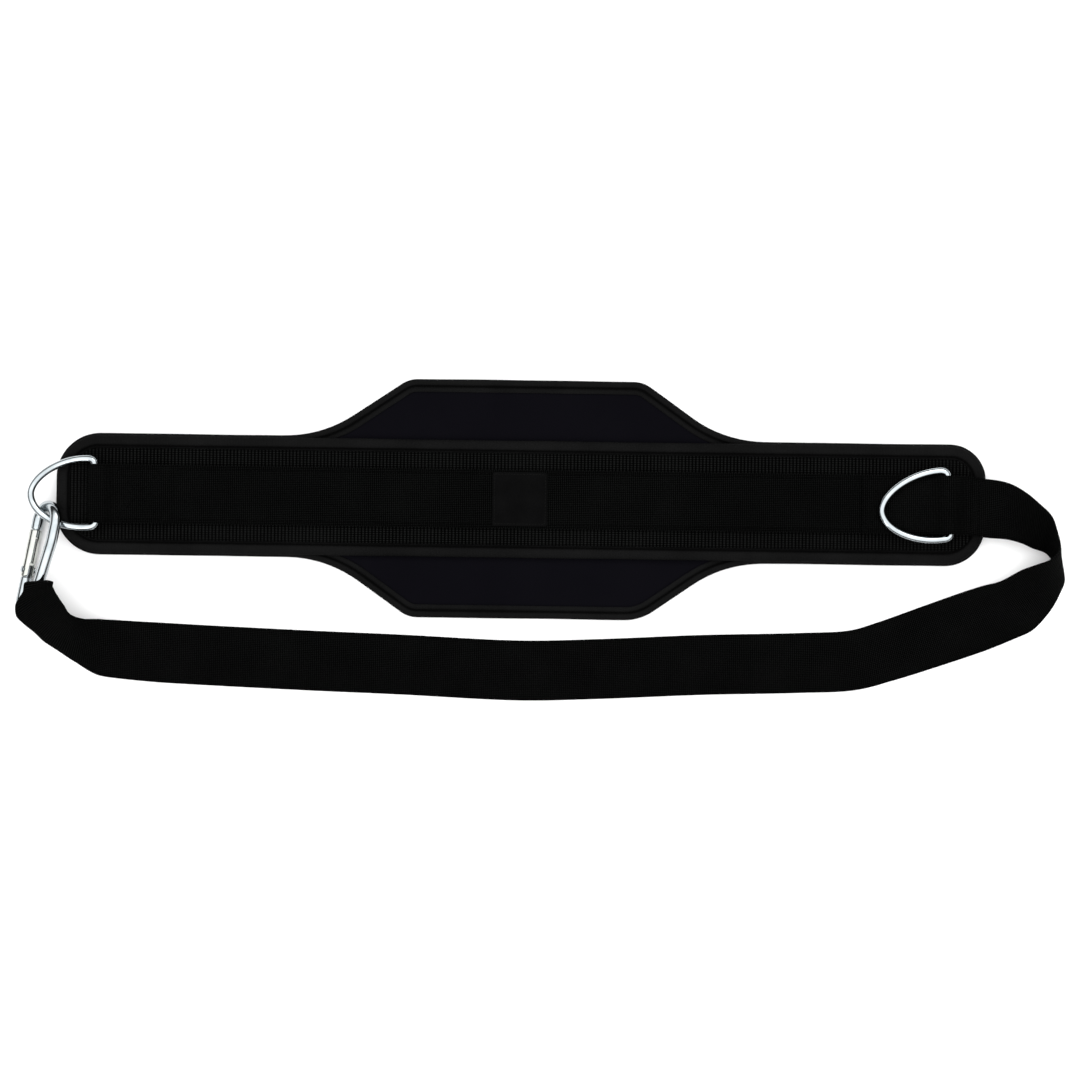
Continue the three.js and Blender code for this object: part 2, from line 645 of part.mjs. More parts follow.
// Tail of the strap's loop: bunched through the narrow end of the carabiner and back under the strap.
// u in body lengths, v in narrow ends, n in tail depths, width in strap widths, thickness in strap thicknesses.
const tailDepth = limbHalf + clearance * 2 + strap.thickness / 2;
const tailRows = [
  { u: 0.732, v: 1.03, n: 1.24, width: 0.41, thickness: 1.5 },
  { u: 0.732, v: 0.7, n: 1, width: 0.24, thickness: 2 },
  { u: 0.738, v: 0.51, n: 0.3, width: 0.155, thickness: 2.95 },
  { u: 0.752, v: 0.486, n: -0.46, width: 0.155, thickness: 2.95 },
  { u: 0.805, v: 0.486, n: -1.24, width: 0.2, thickness: 1.8 },
  { u: 0.927, v: 0.486, n: -1, width: 0.29, thickness: 1 },
  { u: 1.096, v: 0.54, n: -0.845, width: 0.33, thickness: 1 },
];
const tailStations = tailRows.map(({ u, v, n, width, thickness }) => {
  const middle = place(u * bodyLength, v * narrowEnd, n * tailDepth);
  return station(middle, vWay, width * strap.width, thickness * strap.thickness);
});
const tailSteps = 3;
// The cloth gives way where it lies against the carabiner's wire.
const wireRoom = solid(rod(bodyPath, limbHalf + clearance).applyMatrix4(carabinerFrame));
const tailSolid = solid(ribbon(smoothed(tailStations, tailSteps)));
const strapSolid = solid(ribbon(strapSpine)).add(tailSolid).subtract(wireRoom);
add("load_strap", geometryOf(strapSolid), webbingCloth);

export default group;
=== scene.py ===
# Dip belt laid out flat on a pale floor, seen from straight above.
# Sizes and routes are in millimetres, as in the part's source, and become metres where a mesh is made.
import math

import bmesh
import bpy
from mathutils import Euler, Matrix, Vector, noise
from mathutils.geometry import delaunay_2d_cdt


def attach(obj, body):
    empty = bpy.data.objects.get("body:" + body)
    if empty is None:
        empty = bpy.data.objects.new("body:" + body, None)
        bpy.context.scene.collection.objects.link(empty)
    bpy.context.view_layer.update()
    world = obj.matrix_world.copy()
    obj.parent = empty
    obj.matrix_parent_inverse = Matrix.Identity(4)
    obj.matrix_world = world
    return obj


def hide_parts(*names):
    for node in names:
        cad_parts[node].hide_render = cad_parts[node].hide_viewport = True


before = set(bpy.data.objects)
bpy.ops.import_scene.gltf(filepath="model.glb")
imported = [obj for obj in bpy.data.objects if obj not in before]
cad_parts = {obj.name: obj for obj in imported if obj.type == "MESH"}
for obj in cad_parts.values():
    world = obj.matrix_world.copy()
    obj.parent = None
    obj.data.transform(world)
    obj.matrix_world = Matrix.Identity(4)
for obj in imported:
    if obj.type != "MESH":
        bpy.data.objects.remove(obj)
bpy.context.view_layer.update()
MM = 0.001


def added(name, data):
    """A new object in the scene."""
    made = bpy.data.objects.new(name, data)
    bpy.context.collection.objects.link(made)
    return made


# Camera: straight above, turned a little, with the framing of the photograph
CAMERA_PLACE = (0.01723, -0.03377, 2.5)
CAMERA_ROLL = math.radians(0.8)
CAMERA_LENS = 99.16
camera_data = bpy.data.cameras.new("camera")
camera_data.lens = CAMERA_LENS
camera_data.clip_end = 20.0
camera = added("camera", camera_data)
camera.location = CAMERA_PLACE
camera.rotation_euler = Euler((0.0, 0.0, CAMERA_ROLL))
bpy.context.scene.camera = camera

# Sizes, most of them shared with the part's source
BELT_HALF, BELT_EDGE, BELT_RADIUS = 389.0, 51.0, 37.0
LOBE_EDGE, LOBE_TOP, LOBE_FOOT, LOBE_ASIDE = 100.0, 93.0, 168.0, 1.2
LOBE_TOP_RADIUS, LOBE_FOOT_RADIUS = 24.0, 105.0
# How the cloth lies: how far each lobe's corners are pushed along the belt (left foot, left shoulder,
# right shoulder, right foot), the lower right shoulder's radius, and how much squarer the corners of
# the belt's right end are and how much longer that end is
LOWER_LIE = (5.0, -1.0, 7.8, 3.5)
UPPER_LIE = (0.0, -2.5, 7.5, 2.0)
LOWER_SHOULDER = 42.0
LOWER_SQUARER, UPPER_SQUARER, END_LONGER = 3.0, 7.0, 1.4
BACK_TOP = 8.0
BAND_HALF, BAND_EDGE, BAND_RADIUS = 386.5, 49.0, 35.0
BAND_BOTTOM, BAND_TOP = 8.3, 14.3
WIDE_HALF, WIDE_EDGE, WIDE_RADIUS = 376.0, 38.0, 24.5
WIDE_BOTTOM, WIDE_TOP = 14.6, 16.4
STRAP_WIDTH, STRAP_THICK = 49.0, 2.2
STRAP_BOTTOM = 16.7
CLEARANCE = 0.3
STRAP_MIDDLE = STRAP_BOTTOM + STRAP_THICK / 2
OVER_STRAP = STRAP_BOTTOM + STRAP_THICK + CLEARANCE
TAB_MIDDLE = OVER_STRAP + STRAP_THICK / 2
LABEL_HALF_WIDTH, LABEL_HALF_HEIGHT, LABEL_RADIUS, LABEL_THICK = 23.0, 22.5, 1.5, 0.8
WIRE_HALF = 3.0
RING_HALF = 28.5
RING_LEG, RING_CORNER, RING_CORNER_DEEP = 9.0, 6.0, 4.0
# Each ring's bow: its reach past the legs, its upper and lower power, and how much it leans
LEFT_BOW = (46.0, 1.75, 2.0, 0.0)
RIGHT_BOW = (47.0, 1.8, 1.85, 0.055)
LEFT_BAR, LEFT_ASIDE, LEFT_HEIGHT = -354.0, 0.5, 22.8
LEFT_YAW, LEFT_DROOP = math.radians(1.5), math.radians(7.0)
FOLD_RADIUS = LEFT_HEIGHT - STRAP_MIDDLE
RIGHT_BAR, RIGHT_ASIDE, RIGHT_HEIGHT = 357.0, 0.3, 24.7
RIGHT_YAW = math.radians(3.5)
STRAP_TAIL, STRAP_STEP = 58.0, 8.0
TAB_LENGTH, ARCH_HALF, ARCH_ROOM = 71.5, 15.0, 1.4
# The weaves' pitches: ribs across a strap and rows along it
WIDE_RIB, WIDE_ROW = 2.9, 1.9
RIB, YARN = 1.6, 1.5
TAPE_RIB, TAPE_YARN = 1.3, 0.9
THREAD_PITCH = 0.5


def smooth(value):
    """0 to 1, easing in and out, for a value from 0 to 1 and held outside it."""
    value = max(0.0, min(1.0, value))
    return value * value * (3 - 2 * value)


def mixed(low, high, share):
    return low + (high - low) * share


def ripple(x, y, z=0.0):
    """Seeded by place alone, from about -1 to 1."""
    return noise.noise(Vector((x, y, z)))


# Materials
def node(tree, kind, links=None, **settings):
    made = tree.nodes.new(kind)
    for key, value in settings.items():
        setattr(made, key, value)
    for key, value in (links or {}).items():
        if isinstance(value, bpy.types.NodeSocket):
            tree.links.new(value, made.inputs[key])
        else:
            made.inputs[key].default_value = value
    return made


def math_node(tree, operation, first, second=0.0):
    return node(tree, "ShaderNodeMath", {0: first, 1: second}, operation=operation).outputs[0]


def noise_node(tree, place, scale, detail=2.0):
    return node(tree, "ShaderNodeTexNoise", {"Vector": place, "Scale": scale, "Detail": detail}).outputs[0]


def grey(value):
    return (value, value, value)


def colour_mix(tree, share, first, second):
    ramp = node(tree, "ShaderNodeValToRGB", {"Fac": share})
    ramp.color_ramp.elements[0].color = (*first, 1.0)
    ramp.color_ramp.elements[1].color = (*second, 1.0)
    return ramp.outputs[0]


def wave(tree, attribute, pitch):
    """A cosine along a point attribute that holds millimetres."""
    place = node(tree, "ShaderNodeAttribute", attribute_name=attribute).outputs["Fac"]
    return math_node(tree, "COSINE", math_node(tree, "MULTIPLY", place, 2 * math.pi / pitch))


def surface(name, roughness, specular, metallic=0.0):
    material = bpy.data.materials.new(name)
    material.use_nodes = True
    shader = material.node_tree.nodes["Principled BSDF"]
    shader.inputs["Roughness"].default_value = roughness
    shader.inputs["Specular IOR Level"].default_value = specular
    shader.inputs["Metallic"].default_value = metallic
    return material, material.node_tree, shader


def bumped(tree, shader, height, depth):
    bump = node(tree, "ShaderNodeBump", {"Height": height, "Distance": depth, "Strength": 1.0})
    tree.links.new(bump.outputs[0], shader.inputs["Normal"])


def object_place(tree):
    return node(tree, "ShaderNodeTexCoord").outputs["Object"]


FUZZ_SCALE, FUZZ_SHADE, BLOTCH_SCALE = 1400.0, 0.6, 26.0
CROSSING_BIAS, WEAVE_HEIGHT = 0.9, 0.4
BLOTCH_SHARE, BASE_SHARE = 0.4, 0.16


def woven(name, dark, light, rib, yarn, depth, painted_rib_light, specular=0.008, groove=0.0):
    """Webbing, tape or thread: ribs across it, yarns along it, soft blotches and a sunk seam line. Its
    colour is painted lighter on rib crests and yarn crossings and darker between them, as painted highlight
    and shade, and darker in the seam line, as painted shade.
    """
    material, tree, shader = surface(name, roughness=0.8, specular=specular)
    ribs = wave(tree, "run", rib)
    yarns = wave(tree, "side", yarn)
    crossings = math_node(tree, "MULTIPLY", yarns, math_node(tree, "ADD", ribs, CROSSING_BIAS))
    weave = math_node(tree, "ADD", ribs, crossings)
    place = object_place(tree)
    fuzz = noise_node(tree, place, FUZZ_SCALE, 3.0)
    height = math_node(tree, "ADD", math_node(tree, "MULTIPLY", weave, WEAVE_HEIGHT), fuzz)
    bumped(tree, shader, height, depth)
    blotch = noise_node(tree, place, BLOTCH_SCALE, 3.0)
    grain = math_node(tree, "MULTIPLY", math_node(tree, "SUBTRACT", fuzz, 0.5), FUZZ_SHADE)
    # Painted highlight and shade: the colour is lighter on rib crests and yarn crossings and darker between
    # them, plus random fuzz grain
    rib_light_and_grain = math_node(tree, "ADD", math_node(tree, "MULTIPLY", weave, painted_rib_light), grain)
    cloud = math_node(tree, "ADD", math_node(tree, "MULTIPLY", blotch, BLOTCH_SHARE), BASE_SHARE)
    share = math_node(tree, "ADD", cloud, rib_light_and_grain)
    # Painted shade: the colour is darker along the sewn groove, by the seam attribute
    if groove:
        sunk = node(tree, "ShaderNodeAttribute", attribute_name="seam").outputs["Fac"]
        share = math_node(tree, "SUBTRACT", share, math_node(tree, "MULTIPLY", sunk, groove))
    tree.links.new(colour_mix(tree, share, dark, light), shader.inputs["Base Color"])
    return material


KNIT_SCALE, KNIT_CREASE_SCALE, KNIT_CLOUD_SCALE, KNIT_DEPTH = 1100.0, 260.0, 14.0, 0.00016


def knitted(name, dark, light):
    """The pads' fine smooth face cloth."""
    material, tree, shader = surface(name, roughness=0.9, specular=0.008)
    place = object_place(tree)
    cells = node(tree, "ShaderNodeTexVoronoi", {"Vector": place, "Scale": KNIT_SCALE}).outputs["Distance"]
    height = math_node(tree, "ADD", cells, noise_node(tree, place, KNIT_CREASE_SCALE, 4.0))
    bumped(tree, shader, height, KNIT_DEPTH)
    share = noise_node(tree, place, KNIT_CLOUD_SCALE, 4.0)
    tree.links.new(colour_mix(tree, share, dark, light), shader.inputs["Base Color"])
    return material


SATIN_CROSSING, SATIN_DEPTH, SATIN_CONTRAST, SATIN_CLOUD_SCALE = 1.1, 0.00005, 0.12, 60.0


def satin(name, dark, light):
    """A woven label: close threads across it with a low gloss."""
    material, tree, shader = surface(name, roughness=0.5, specular=0.02)
    threads = wave(tree, "side", THREAD_PITCH)
    crossing = wave(tree, "run", SATIN_CROSSING)
    height = math_node(tree, "ADD", threads, math_node(tree, "MULTIPLY", crossing, WEAVE_HEIGHT))
    bumped(tree, shader, height, SATIN_DEPTH)
    blotch = noise_node(tree, object_place(tree), SATIN_CLOUD_SCALE)
    share = math_node(tree, "ADD", math_node(tree, "MULTIPLY", threads, SATIN_CONTRAST), blotch)
    tree.links.new(colour_mix(tree, share, dark, light), shader.inputs["Base Color"])
    return material


PLATING_CLOUD_SCALE, DRAWING_MARK_SCALE, DRAWING_MARK_DEPTH = 75.0, 620.0, 0.00004


def zinc(name, dark, light, smoothest, roughest):
    """Bright plated wire, with faint drawing marks and cloudy patches in the plating."""
    material, tree, shader = surface(name, roughness=0.25, specular=0.5, metallic=1.0)
    place = object_place(tree)
    cloud = noise_node(tree, place, PLATING_CLOUD_SCALE, 4.0)
    marks = noise_node(tree, place, DRAWING_MARK_SCALE, 5.0)
    tree.links.new(colour_mix(tree, cloud, dark, light), shader.inputs["Base Color"])
    rough = node(tree, "ShaderNodeMapRange", {"Value": marks, "To Min": smoothest, "To Max": roughest})
    tree.links.new(rough.outputs[0], shader.inputs["Roughness"])
    bumped(tree, shader, marks, DRAWING_MARK_DEPTH)
    return material


PAD_CLOTH = knitted("pad_cloth_black", dark=(0.0018, 0.0017, 0.0026), light=(0.003, 0.0028, 0.004))
# For the tape, groove is how much darker its sewn groove is painted, as painted shade
TAPE_WEAVE = {"rib": TAPE_RIB, "yarn": TAPE_YARN, "depth": 0.00012, "painted_rib_light": 0.06, "groove": 0.5}
WIDE_WEAVE = {"rib": WIDE_RIB, "yarn": WIDE_ROW, "depth": 0.0003, "painted_rib_light": 0.42}
NARROW_WEAVE = {"rib": RIB, "yarn": YARN, "depth": 0.0003, "painted_rib_light": 0.42}
BINDING_TAPE = woven(
    "binding_tape", dark=grey(0.0008), light=(0.011, 0.011, 0.0111), specular=0.02, **TAPE_WEAVE
)
WIDE_WEB = woven(
    "wide_webbing_black", dark=grey(0.0001), light=(0.0074, 0.0077, 0.0075), **WIDE_WEAVE
)
NARROW_WEB = woven(
    "narrow_webbing_black", dark=grey(0.0001), light=(0.0056, 0.0059, 0.0057), **NARROW_WEAVE
)
LABEL_SATIN = satin("label_satin", dark=grey(0.0004), light=(0.0024, 0.0024, 0.0025))
THREAD_WEAVE = {"rib": THREAD_PITCH, "yarn": THREAD_PITCH, "depth": 0.00004, "painted_rib_light": 0.1}
THREAD = woven("sewing_thread", dark=grey(0.0008), light=grey(0.0036), **THREAD_WEAVE)
EDGE_THREAD = woven(
    "label_edge_thread", dark=(0.004, 0.004, 0.0038), light=(0.013, 0.013, 0.0125), **THREAD_WEAVE
)
ZINC = zinc(
    "zinc_plated_wire", dark=(0.24, 0.27, 0.285), light=(0.5, 0.53, 0.545), smoothest=0.06, roughest=0.16
)
PALE_ZINC = zinc(
    "zinc_plated_tube", dark=(0.3, 0.31, 0.29), light=(0.54, 0.55, 0.52), smoothest=0.08, roughest=0.2
)


# Meshes
def build(name, points, faces, material, body, run=None, side=None, seam=None):
    """A piece from points in millimetres, its faces turned outwards, riding on a body."""
    mesh = bpy.data.meshes.new(name)
    mesh.from_pydata([Vector(point) * MM for point in points], [], faces)
    for key, values in (("run", run), ("side", side), ("seam", seam)):
        if values is not None:
            mesh.attributes.new(key, "FLOAT", "POINT").data.foreach_set("value", values)
    return finish_piece(name, mesh, material, body)


def face_outwards(mesh):
    turned = bmesh.new()
    turned.from_mesh(mesh)
    bmesh.ops.recalc_face_normals(turned, faces=turned.faces)
    turned.to_mesh(mesh)
    turned.free()


def finish_piece(name, mesh, material, body):
    face_outwards(mesh)
    mesh.shade_smooth()
    mesh.materials.append(material)
    piece = added(name, mesh)
    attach(piece, body)
    return piece


def skin(rings, loop=False):
    """Points and faces of a sweep through rings of equally many points, capped unless it is a loop."""
    count = len(rings[0])
    points = [point for ring in rings for point in ring]
    faces = []
    for row in range(len(rings) if loop else len(rings) - 1):
        after = (row + 1) % len(rings)
        for k in range(count):
            step = (k + 1) % count
            faces.append((row * count + k, row * count + step, after * count + step, after * count + k))
    if not loop:
        faces.append(tuple(range(count)))
        faces.append(tuple(range((len(rings) - 1) * count, len(rings) * count)))
    return points, faces


def rounded_outline(corners, step_angle=4.0):
    """A closed plan outline of corners (x, y, radius), each rounded by an arc."""
    points = []
    for i, (x, y, radius) in enumerate(corners):
        corner = Vector((x, y))
        before = (Vector(corners[i - 1][:2]) - corner).normalized()
        after = (Vector(corners[(i + 1) % len(corners)][:2]) - corner).normalized()
        half = math.acos(max(-1.0, min(1.0, before.dot(after)))) / 2
        centre = corner + (before + after).normalized() * (radius / math.sin(half))
        spoke = corner + before * (radius / math.tan(half)) - centre
        turn = math.copysign(math.pi - 2 * half, after.x * before.y - after.y * before.x)
        steps = max(2, round(abs(math.degrees(turn)) / step_angle))
        points += [centre + Matrix.Rotation(turn * k / steps, 2) @ spoke for k in range(steps + 1)]
    return points


def paced(points, step, closed=False):
    """Places at even steps along a line of points, each with its run, its span and its share of that."""
    line = points + points[:1] if closed else points
    runs = [0.0]
    for a, b in zip(line, line[1:]):
        runs.append(runs[-1] + (b - a).length)
    count = max(2, round(runs[-1] / step))
    places = []
    span = 0
    for k in range(count if closed else count + 1):
        run = runs[-1] * k / count
        while span < len(line) - 2 and runs[span + 1] < run:
            span += 1
        share = min(1.0, (run - runs[span]) / max(runs[span + 1] - runs[span], 1e-9))
        places.append((line[span].lerp(line[span + 1], share), run, span, share))
    return places


def walked(points, step, closed=False):
    return [(place, run) for place, run, _, _ in paced(points, step, closed)]


def inward_ways(outline):
    """The unit way inwards at each point of an outline that runs anticlockwise."""
    ways = []
    for i in range(len(outline)):
        along = (outline[(i + 1) % len(outline)] - outline[i - 1]).normalized()
        ways.append(Vector((-along.y, along.x)))
    return ways


def rectangle(half_x, half_y, radius, longer=0.0, lower_squarer=0.0, upper_squarer=0.0):
    return [
        (-half_x, -half_y, radius),
        (half_x + longer, -half_y, radius - lower_squarer),
        (half_x + longer, half_y, radius - upper_squarer),
        (-half_x, half_y, radius),
    ]


def lobe_corners(lie, right_radius):
    """The four corners of a lobe on the upper edge, each pushed along the belt as the cloth lies."""
    foot_left, top_left, top_right, foot_right = lie
    return [
        (LOBE_ASIDE - LOBE_FOOT + foot_left, BELT_EDGE, LOBE_FOOT_RADIUS),
        (LOBE_ASIDE - LOBE_TOP + top_left, LOBE_EDGE, LOBE_TOP_RADIUS),
        (LOBE_ASIDE + LOBE_TOP + top_right, LOBE_EDGE, right_radius),
        (LOBE_ASIDE + LOBE_FOOT + foot_right, BELT_EDGE, LOBE_FOOT_RADIUS),
    ]


def lobed_outline():
    lower_left, lower_right, upper_right, upper_left = rectangle(
        BELT_HALF, BELT_EDGE, BELT_RADIUS, END_LONGER, LOWER_SQUARER, UPPER_SQUARER
    )
    lower_lobe = [(x, -y, radius) for x, y, radius in lobe_corners(LOWER_LIE, LOWER_SHOULDER)]
    upper_lobe = list(reversed(lobe_corners(UPPER_LIE, LOBE_TOP_RADIUS)))
    return [lower_left] + lower_lobe + [lower_right, upper_right] + upper_lobe + [upper_left]


OUTLINE_STEP = 2.5
BACK_OUTLINE = walked(rounded_outline(lobed_outline()), OUTLINE_STEP, closed=True)
band_corners = rectangle(BAND_HALF, BAND_EDGE, BAND_RADIUS, END_LONGER, LOWER_SQUARER, UPPER_SQUARER)
BAND_OUTLINE = walked(rounded_outline(band_corners), OUTLINE_STEP, closed=True)


# Pads and flat patches: rings inside an outline and a grid between them, closed by an underside
def inside(point, outline):
    crossings = False
    for a, b in zip(outline, outline[1:] + outline[:1]):
        if (a.y > point.y) != (b.y > point.y):
            if point.x < a.x + (b.x - a.x) * (point.y - a.y) / (b.y - a.y):
                crossings = not crossings
    return crossings


HULL_POINTS = 260
MERGE_DISTANCE = 1e-5


def padded_body(outline, insets, step, top, bottom):
    """Points and faces of a closed body whose heights come from place and distance to its outline."""
    ways = inward_ways(outline)
    flat = [point + way * away for away in insets for point, way in zip(outline, ways)]
    depths = [away for away in insets for _ in outline]
    count = len(outline)
    hull = outline[:: max(1, count // HULL_POINTS)]
    low_x, high_x = min(p.x for p in outline), max(p.x for p in outline)
    low_y, high_y = min(p.y for p in outline), max(p.y for p in outline)
    for row in range(int((high_y - low_y) / step) + 1):
        for column in range(int((high_x - low_x) / step) + 1):
            point = Vector((low_x + (column + 0.5 * (row % 2)) * step, low_y + row * step))
            away = math.sqrt(min((point - corner).length_squared for corner in hull))
            if away > insets[-1] + 0.6 * step and inside(point, hull):
                flat.append(point)
                depths.append(away)
    edge = [list(range(count))]
    plan, _, triangles, sources, _, _ = delaunay_2d_cdt(flat, [], edge, 1, MERGE_DISTANCE)
    depth_of = [depths[source[0]] for source in sources]
    rim = {source: i for i, found in enumerate(sources) for source in found if source < count}
    total = len(plan)
    points = [(p.x, p.y, top(p.x, p.y, d)) for p, d in zip(plan, depth_of)]
    points += [(p.x, p.y, bottom(p.x, p.y, d)) for p, d in zip(plan, depth_of)]
    faces = [tuple(face) for face in triangles]
    faces += [tuple(i + total for i in reversed(face)) for face in triangles]
    for k in range(count):
        a, b = rim[k], rim[(k + 1) % count]
        faces.append((a, b, b + total, a + total))
    return points, faces


RIM_DROP = 1.9
PAD_RIM_START, PAD_RIM_WIDTH = 9.8, 2.8
PAD_INSETS = (2.2, 6.0, 9.8, 10.7, 11.6, 12.6, 15.0)
# The lobes' crown rises from the binding inwards, puckers lie along the seam and waves farther in
LOBE_START, LOBE_WIDTH = BELT_EDGE - 1.0, 12.0
CROWN, CROWN_START, CROWN_WIDTH = 0.9, 12.0, 26.0
PUCKER, PUCKER_LENGTH, PUCKER_START, PUCKER_WIDTH = 0.22, 7.0, 12.0, 14.0
WAVE, WAVE_LENGTH, WAVE_BREADTH, WAVE_START, WAVE_WIDTH = 0.3, 34.0, 26.0, 14.0, 16.0
UNDER_RIPPLE, UNDER_LENGTH = 0.04, 9.0
BACK_GRID, BAND_GRID = 4.5, 9.0


def under_binding(d):
    return smooth((d - PAD_RIM_START) / PAD_RIM_WIDTH)


def back_top(x, y, d):
    lobe = smooth((abs(y) - LOBE_START) / LOBE_WIDTH)
    crown = CROWN * lobe * smooth((d - CROWN_START) / CROWN_WIDTH)
    near_seam = 1 - smooth((d - PUCKER_START) / PUCKER_WIDTH)
    pucker = PUCKER * ripple(x / PUCKER_LENGTH, y / PUCKER_LENGTH) * lobe * near_seam
    far_in = smooth((d - WAVE_START) / WAVE_WIDTH)
    waves = WAVE * ripple(x / WAVE_LENGTH, y / WAVE_BREADTH, 3.0) * lobe * far_in
    inner = BACK_TOP + crown + (pucker + waves) * under_binding(d)
    return mixed(BACK_TOP - RIM_DROP, inner, under_binding(d))


def back_bottom(x, y, d):
    lifted = UNDER_RIPPLE * (1 + ripple(x / UNDER_LENGTH, y / UNDER_LENGTH))
    return mixed(RIM_DROP, lifted, under_binding(d))


def band_top(x, y, d):
    return mixed(BAND_TOP - RIM_DROP, BAND_TOP, under_binding(d))


def band_bottom(x, y, d):
    return mixed(BAND_BOTTOM + RIM_DROP, BAND_BOTTOM, under_binding(d))


BACK_EDGE = [point for point, _ in BACK_OUTLINE]
BAND_EDGE_LINE = [point for point, _ in BAND_OUTLINE]
for name, node_name, edge, grid, top, bottom in (
    ("back_pad_cloth", "back_pad", BACK_EDGE, BACK_GRID, back_top, back_bottom),
    ("belt_pad_cloth", "belt_pad", BAND_EDGE_LINE, BAND_GRID, band_top, band_bottom),
):
    points, faces = padded_body(edge, PAD_INSETS, grid, top, bottom)
    pad = build(name, points, faces, PAD_CLOTH, "belt")
    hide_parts(node_name)

# Bindings: a tape folded over the pad's edge, from the lip on top round the edge to the lip below.
# Each row is the distance in from the edge and the height, from the pad's top or from its underside.
BAND_OVER = (
    (10.8, -0.95), (10.65, -0.5), (10.0, -0.25), (9.3, -0.5), (8.8, -1.05), (8.3, -0.5), (7.4, -0.05),
    (6.0, 0.1), (4.5, 0.05), (3.0, -0.2), (1.8, -0.7), (0.8, -1.4), (0.2, -2.2),
)
BACK_OVER = (
    (11.0, -0.95), (10.85, -0.5), (10.0, -0.25), (8.6, -0.2), (7.2, -0.25), (6.6, -0.45), (6.1, -0.85),
    (5.6, -0.4), (4.6, 0.0), (3.4, -0.05), (2.2, -0.5), (1.1, -1.3), (0.3, -2.4),
)
TAPE_UNDER = ((0.2, 2.2), (0.8, 1.2), (1.8, 0.5), (3.2, 0.12), (5.5, 0.02), (8.5, 0.02), (10.6, 0.08))
TAPE_INSIDE_UNDER = ((10.6, 1.0), (6.0, 1.05), (2.8, 1.15), (1.4, 2.0))
TAPE_INSIDE_OVER = ((1.4, -2.1), (2.8, -1.3), (6.0, -1.6), (10.8, -1.5))
TAPE_WAVE, WAVE_ALONG, WAVE_ACROSS = 0.24, 12.0, 5.0
TAPE_CRUMPLE, CRUMPLE_ALONG, CRUMPLE_ACROSS = 0.12, 3.6, 3.0
TAPE_SWAY, SWAY_ALONG, SWAY_REACH = 0.3, 55.0, 5.0
ROUND_SIDE = 0.4
# The sewn groove's distance in from the edge: the stitches lie in it, and its colour is painted darker there
# as painted shade
BACK_GROOVE, BAND_GROOVE, GROOVE_WIDTH = 6.1, 8.8, 1.1


def binding(name, outline, over, groove, bottom, top, width, node_name, pad):
    """A tape round an outline: each row of its section has a distance in, a height and its looseness."""
    section = [(away, top + rise, 1.0) for away, rise in over]
    section += [(0.0, (top + bottom) / 2, ROUND_SIDE)]
    section += [(away, bottom + rise, 0.0) for away, rise in TAPE_UNDER + TAPE_INSIDE_UNDER]
    section += [(away, top + rise, 0.0) for away, rise in TAPE_INSIDE_OVER]
    rings, runs, sides, painted_groove_shade = [], [], [], []
    for (point, run), way in zip(outline, inward_ways([point for point, _ in outline])):
        sway = TAPE_SWAY * ripple(point.x / SWAY_ALONG, point.y / SWAY_ALONG, 7.0)
        ring = []
        for away, height, loose in section:
            x, y = point + way * (away + (sway if away < SWAY_REACH else 0.0))
            rise = TAPE_WAVE * ripple(x / WAVE_ALONG, y / WAVE_ALONG, away / WAVE_ACROSS)
            crumple = TAPE_CRUMPLE * ripple(x / CRUMPLE_ALONG, y / CRUMPLE_ALONG, away / CRUMPLE_ACROSS)
            ring.append((x, y, height + loose * (rise + crumple)))
            runs.append(run)
            sides.append(away)
            # Painted shade mask: strongest at the sewn groove on the tape's top
            painted_groove_shade.append(loose * math.exp(-(((away - groove) / GROOVE_WIDTH) ** 2)))
        rings.append(ring)
    points, faces = skin(rings, loop=True)
    piece = build(name, points, faces, BINDING_TAPE, "belt", runs, sides, painted_groove_shade)
    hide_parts(node_name)


BACK_TAPE, BAND_TAPE = 28.0, 26.0
back_side = (BACK_GROOVE, 0.0, BACK_TOP, BACK_TAPE)
band_side = (BAND_GROOVE, BAND_BOTTOM, BAND_TOP, BAND_TAPE)
binding("back_pad_tape", BACK_OUTLINE, BACK_OVER, *back_side, "back_pad_binding", "back_pad_cloth")
binding("belt_pad_tape", BAND_OUTLINE, BAND_OVER, *band_side, "belt_pad_binding", "belt_pad_cloth")

# Wide webbing: coarse ribs across it and rows along it, fine where it shows, plain under the belt strap
WIDE_RELIEF, ROW_DEPTH = 0.5, 0.38
WIDE_STEP = WIDE_RIB / 5
ROW_STEP = WIDE_ROW / 4
SHOWN_EDGE = STRAP_WIDTH / 2 - 0.6
HIDDEN_COLUMNS = 7
EDGE_FALL, EDGE_FALL_WIDTH = 0.35, 1.6
# Past the edge of a rounded end, the columns keep this share of their distance
PRESSED = 0.001


def wide_weave(x, y):
    rib = 0.5 + 0.5 * math.cos(2 * math.pi * x / WIDE_RIB)
    parity = math.pi * (round(x / WIDE_RIB) % 2)
    row = 1 - ROW_DEPTH + ROW_DEPTH * math.cos(2 * math.pi * y / WIDE_ROW + parity)
    return WIDE_RELIEF * rib * row


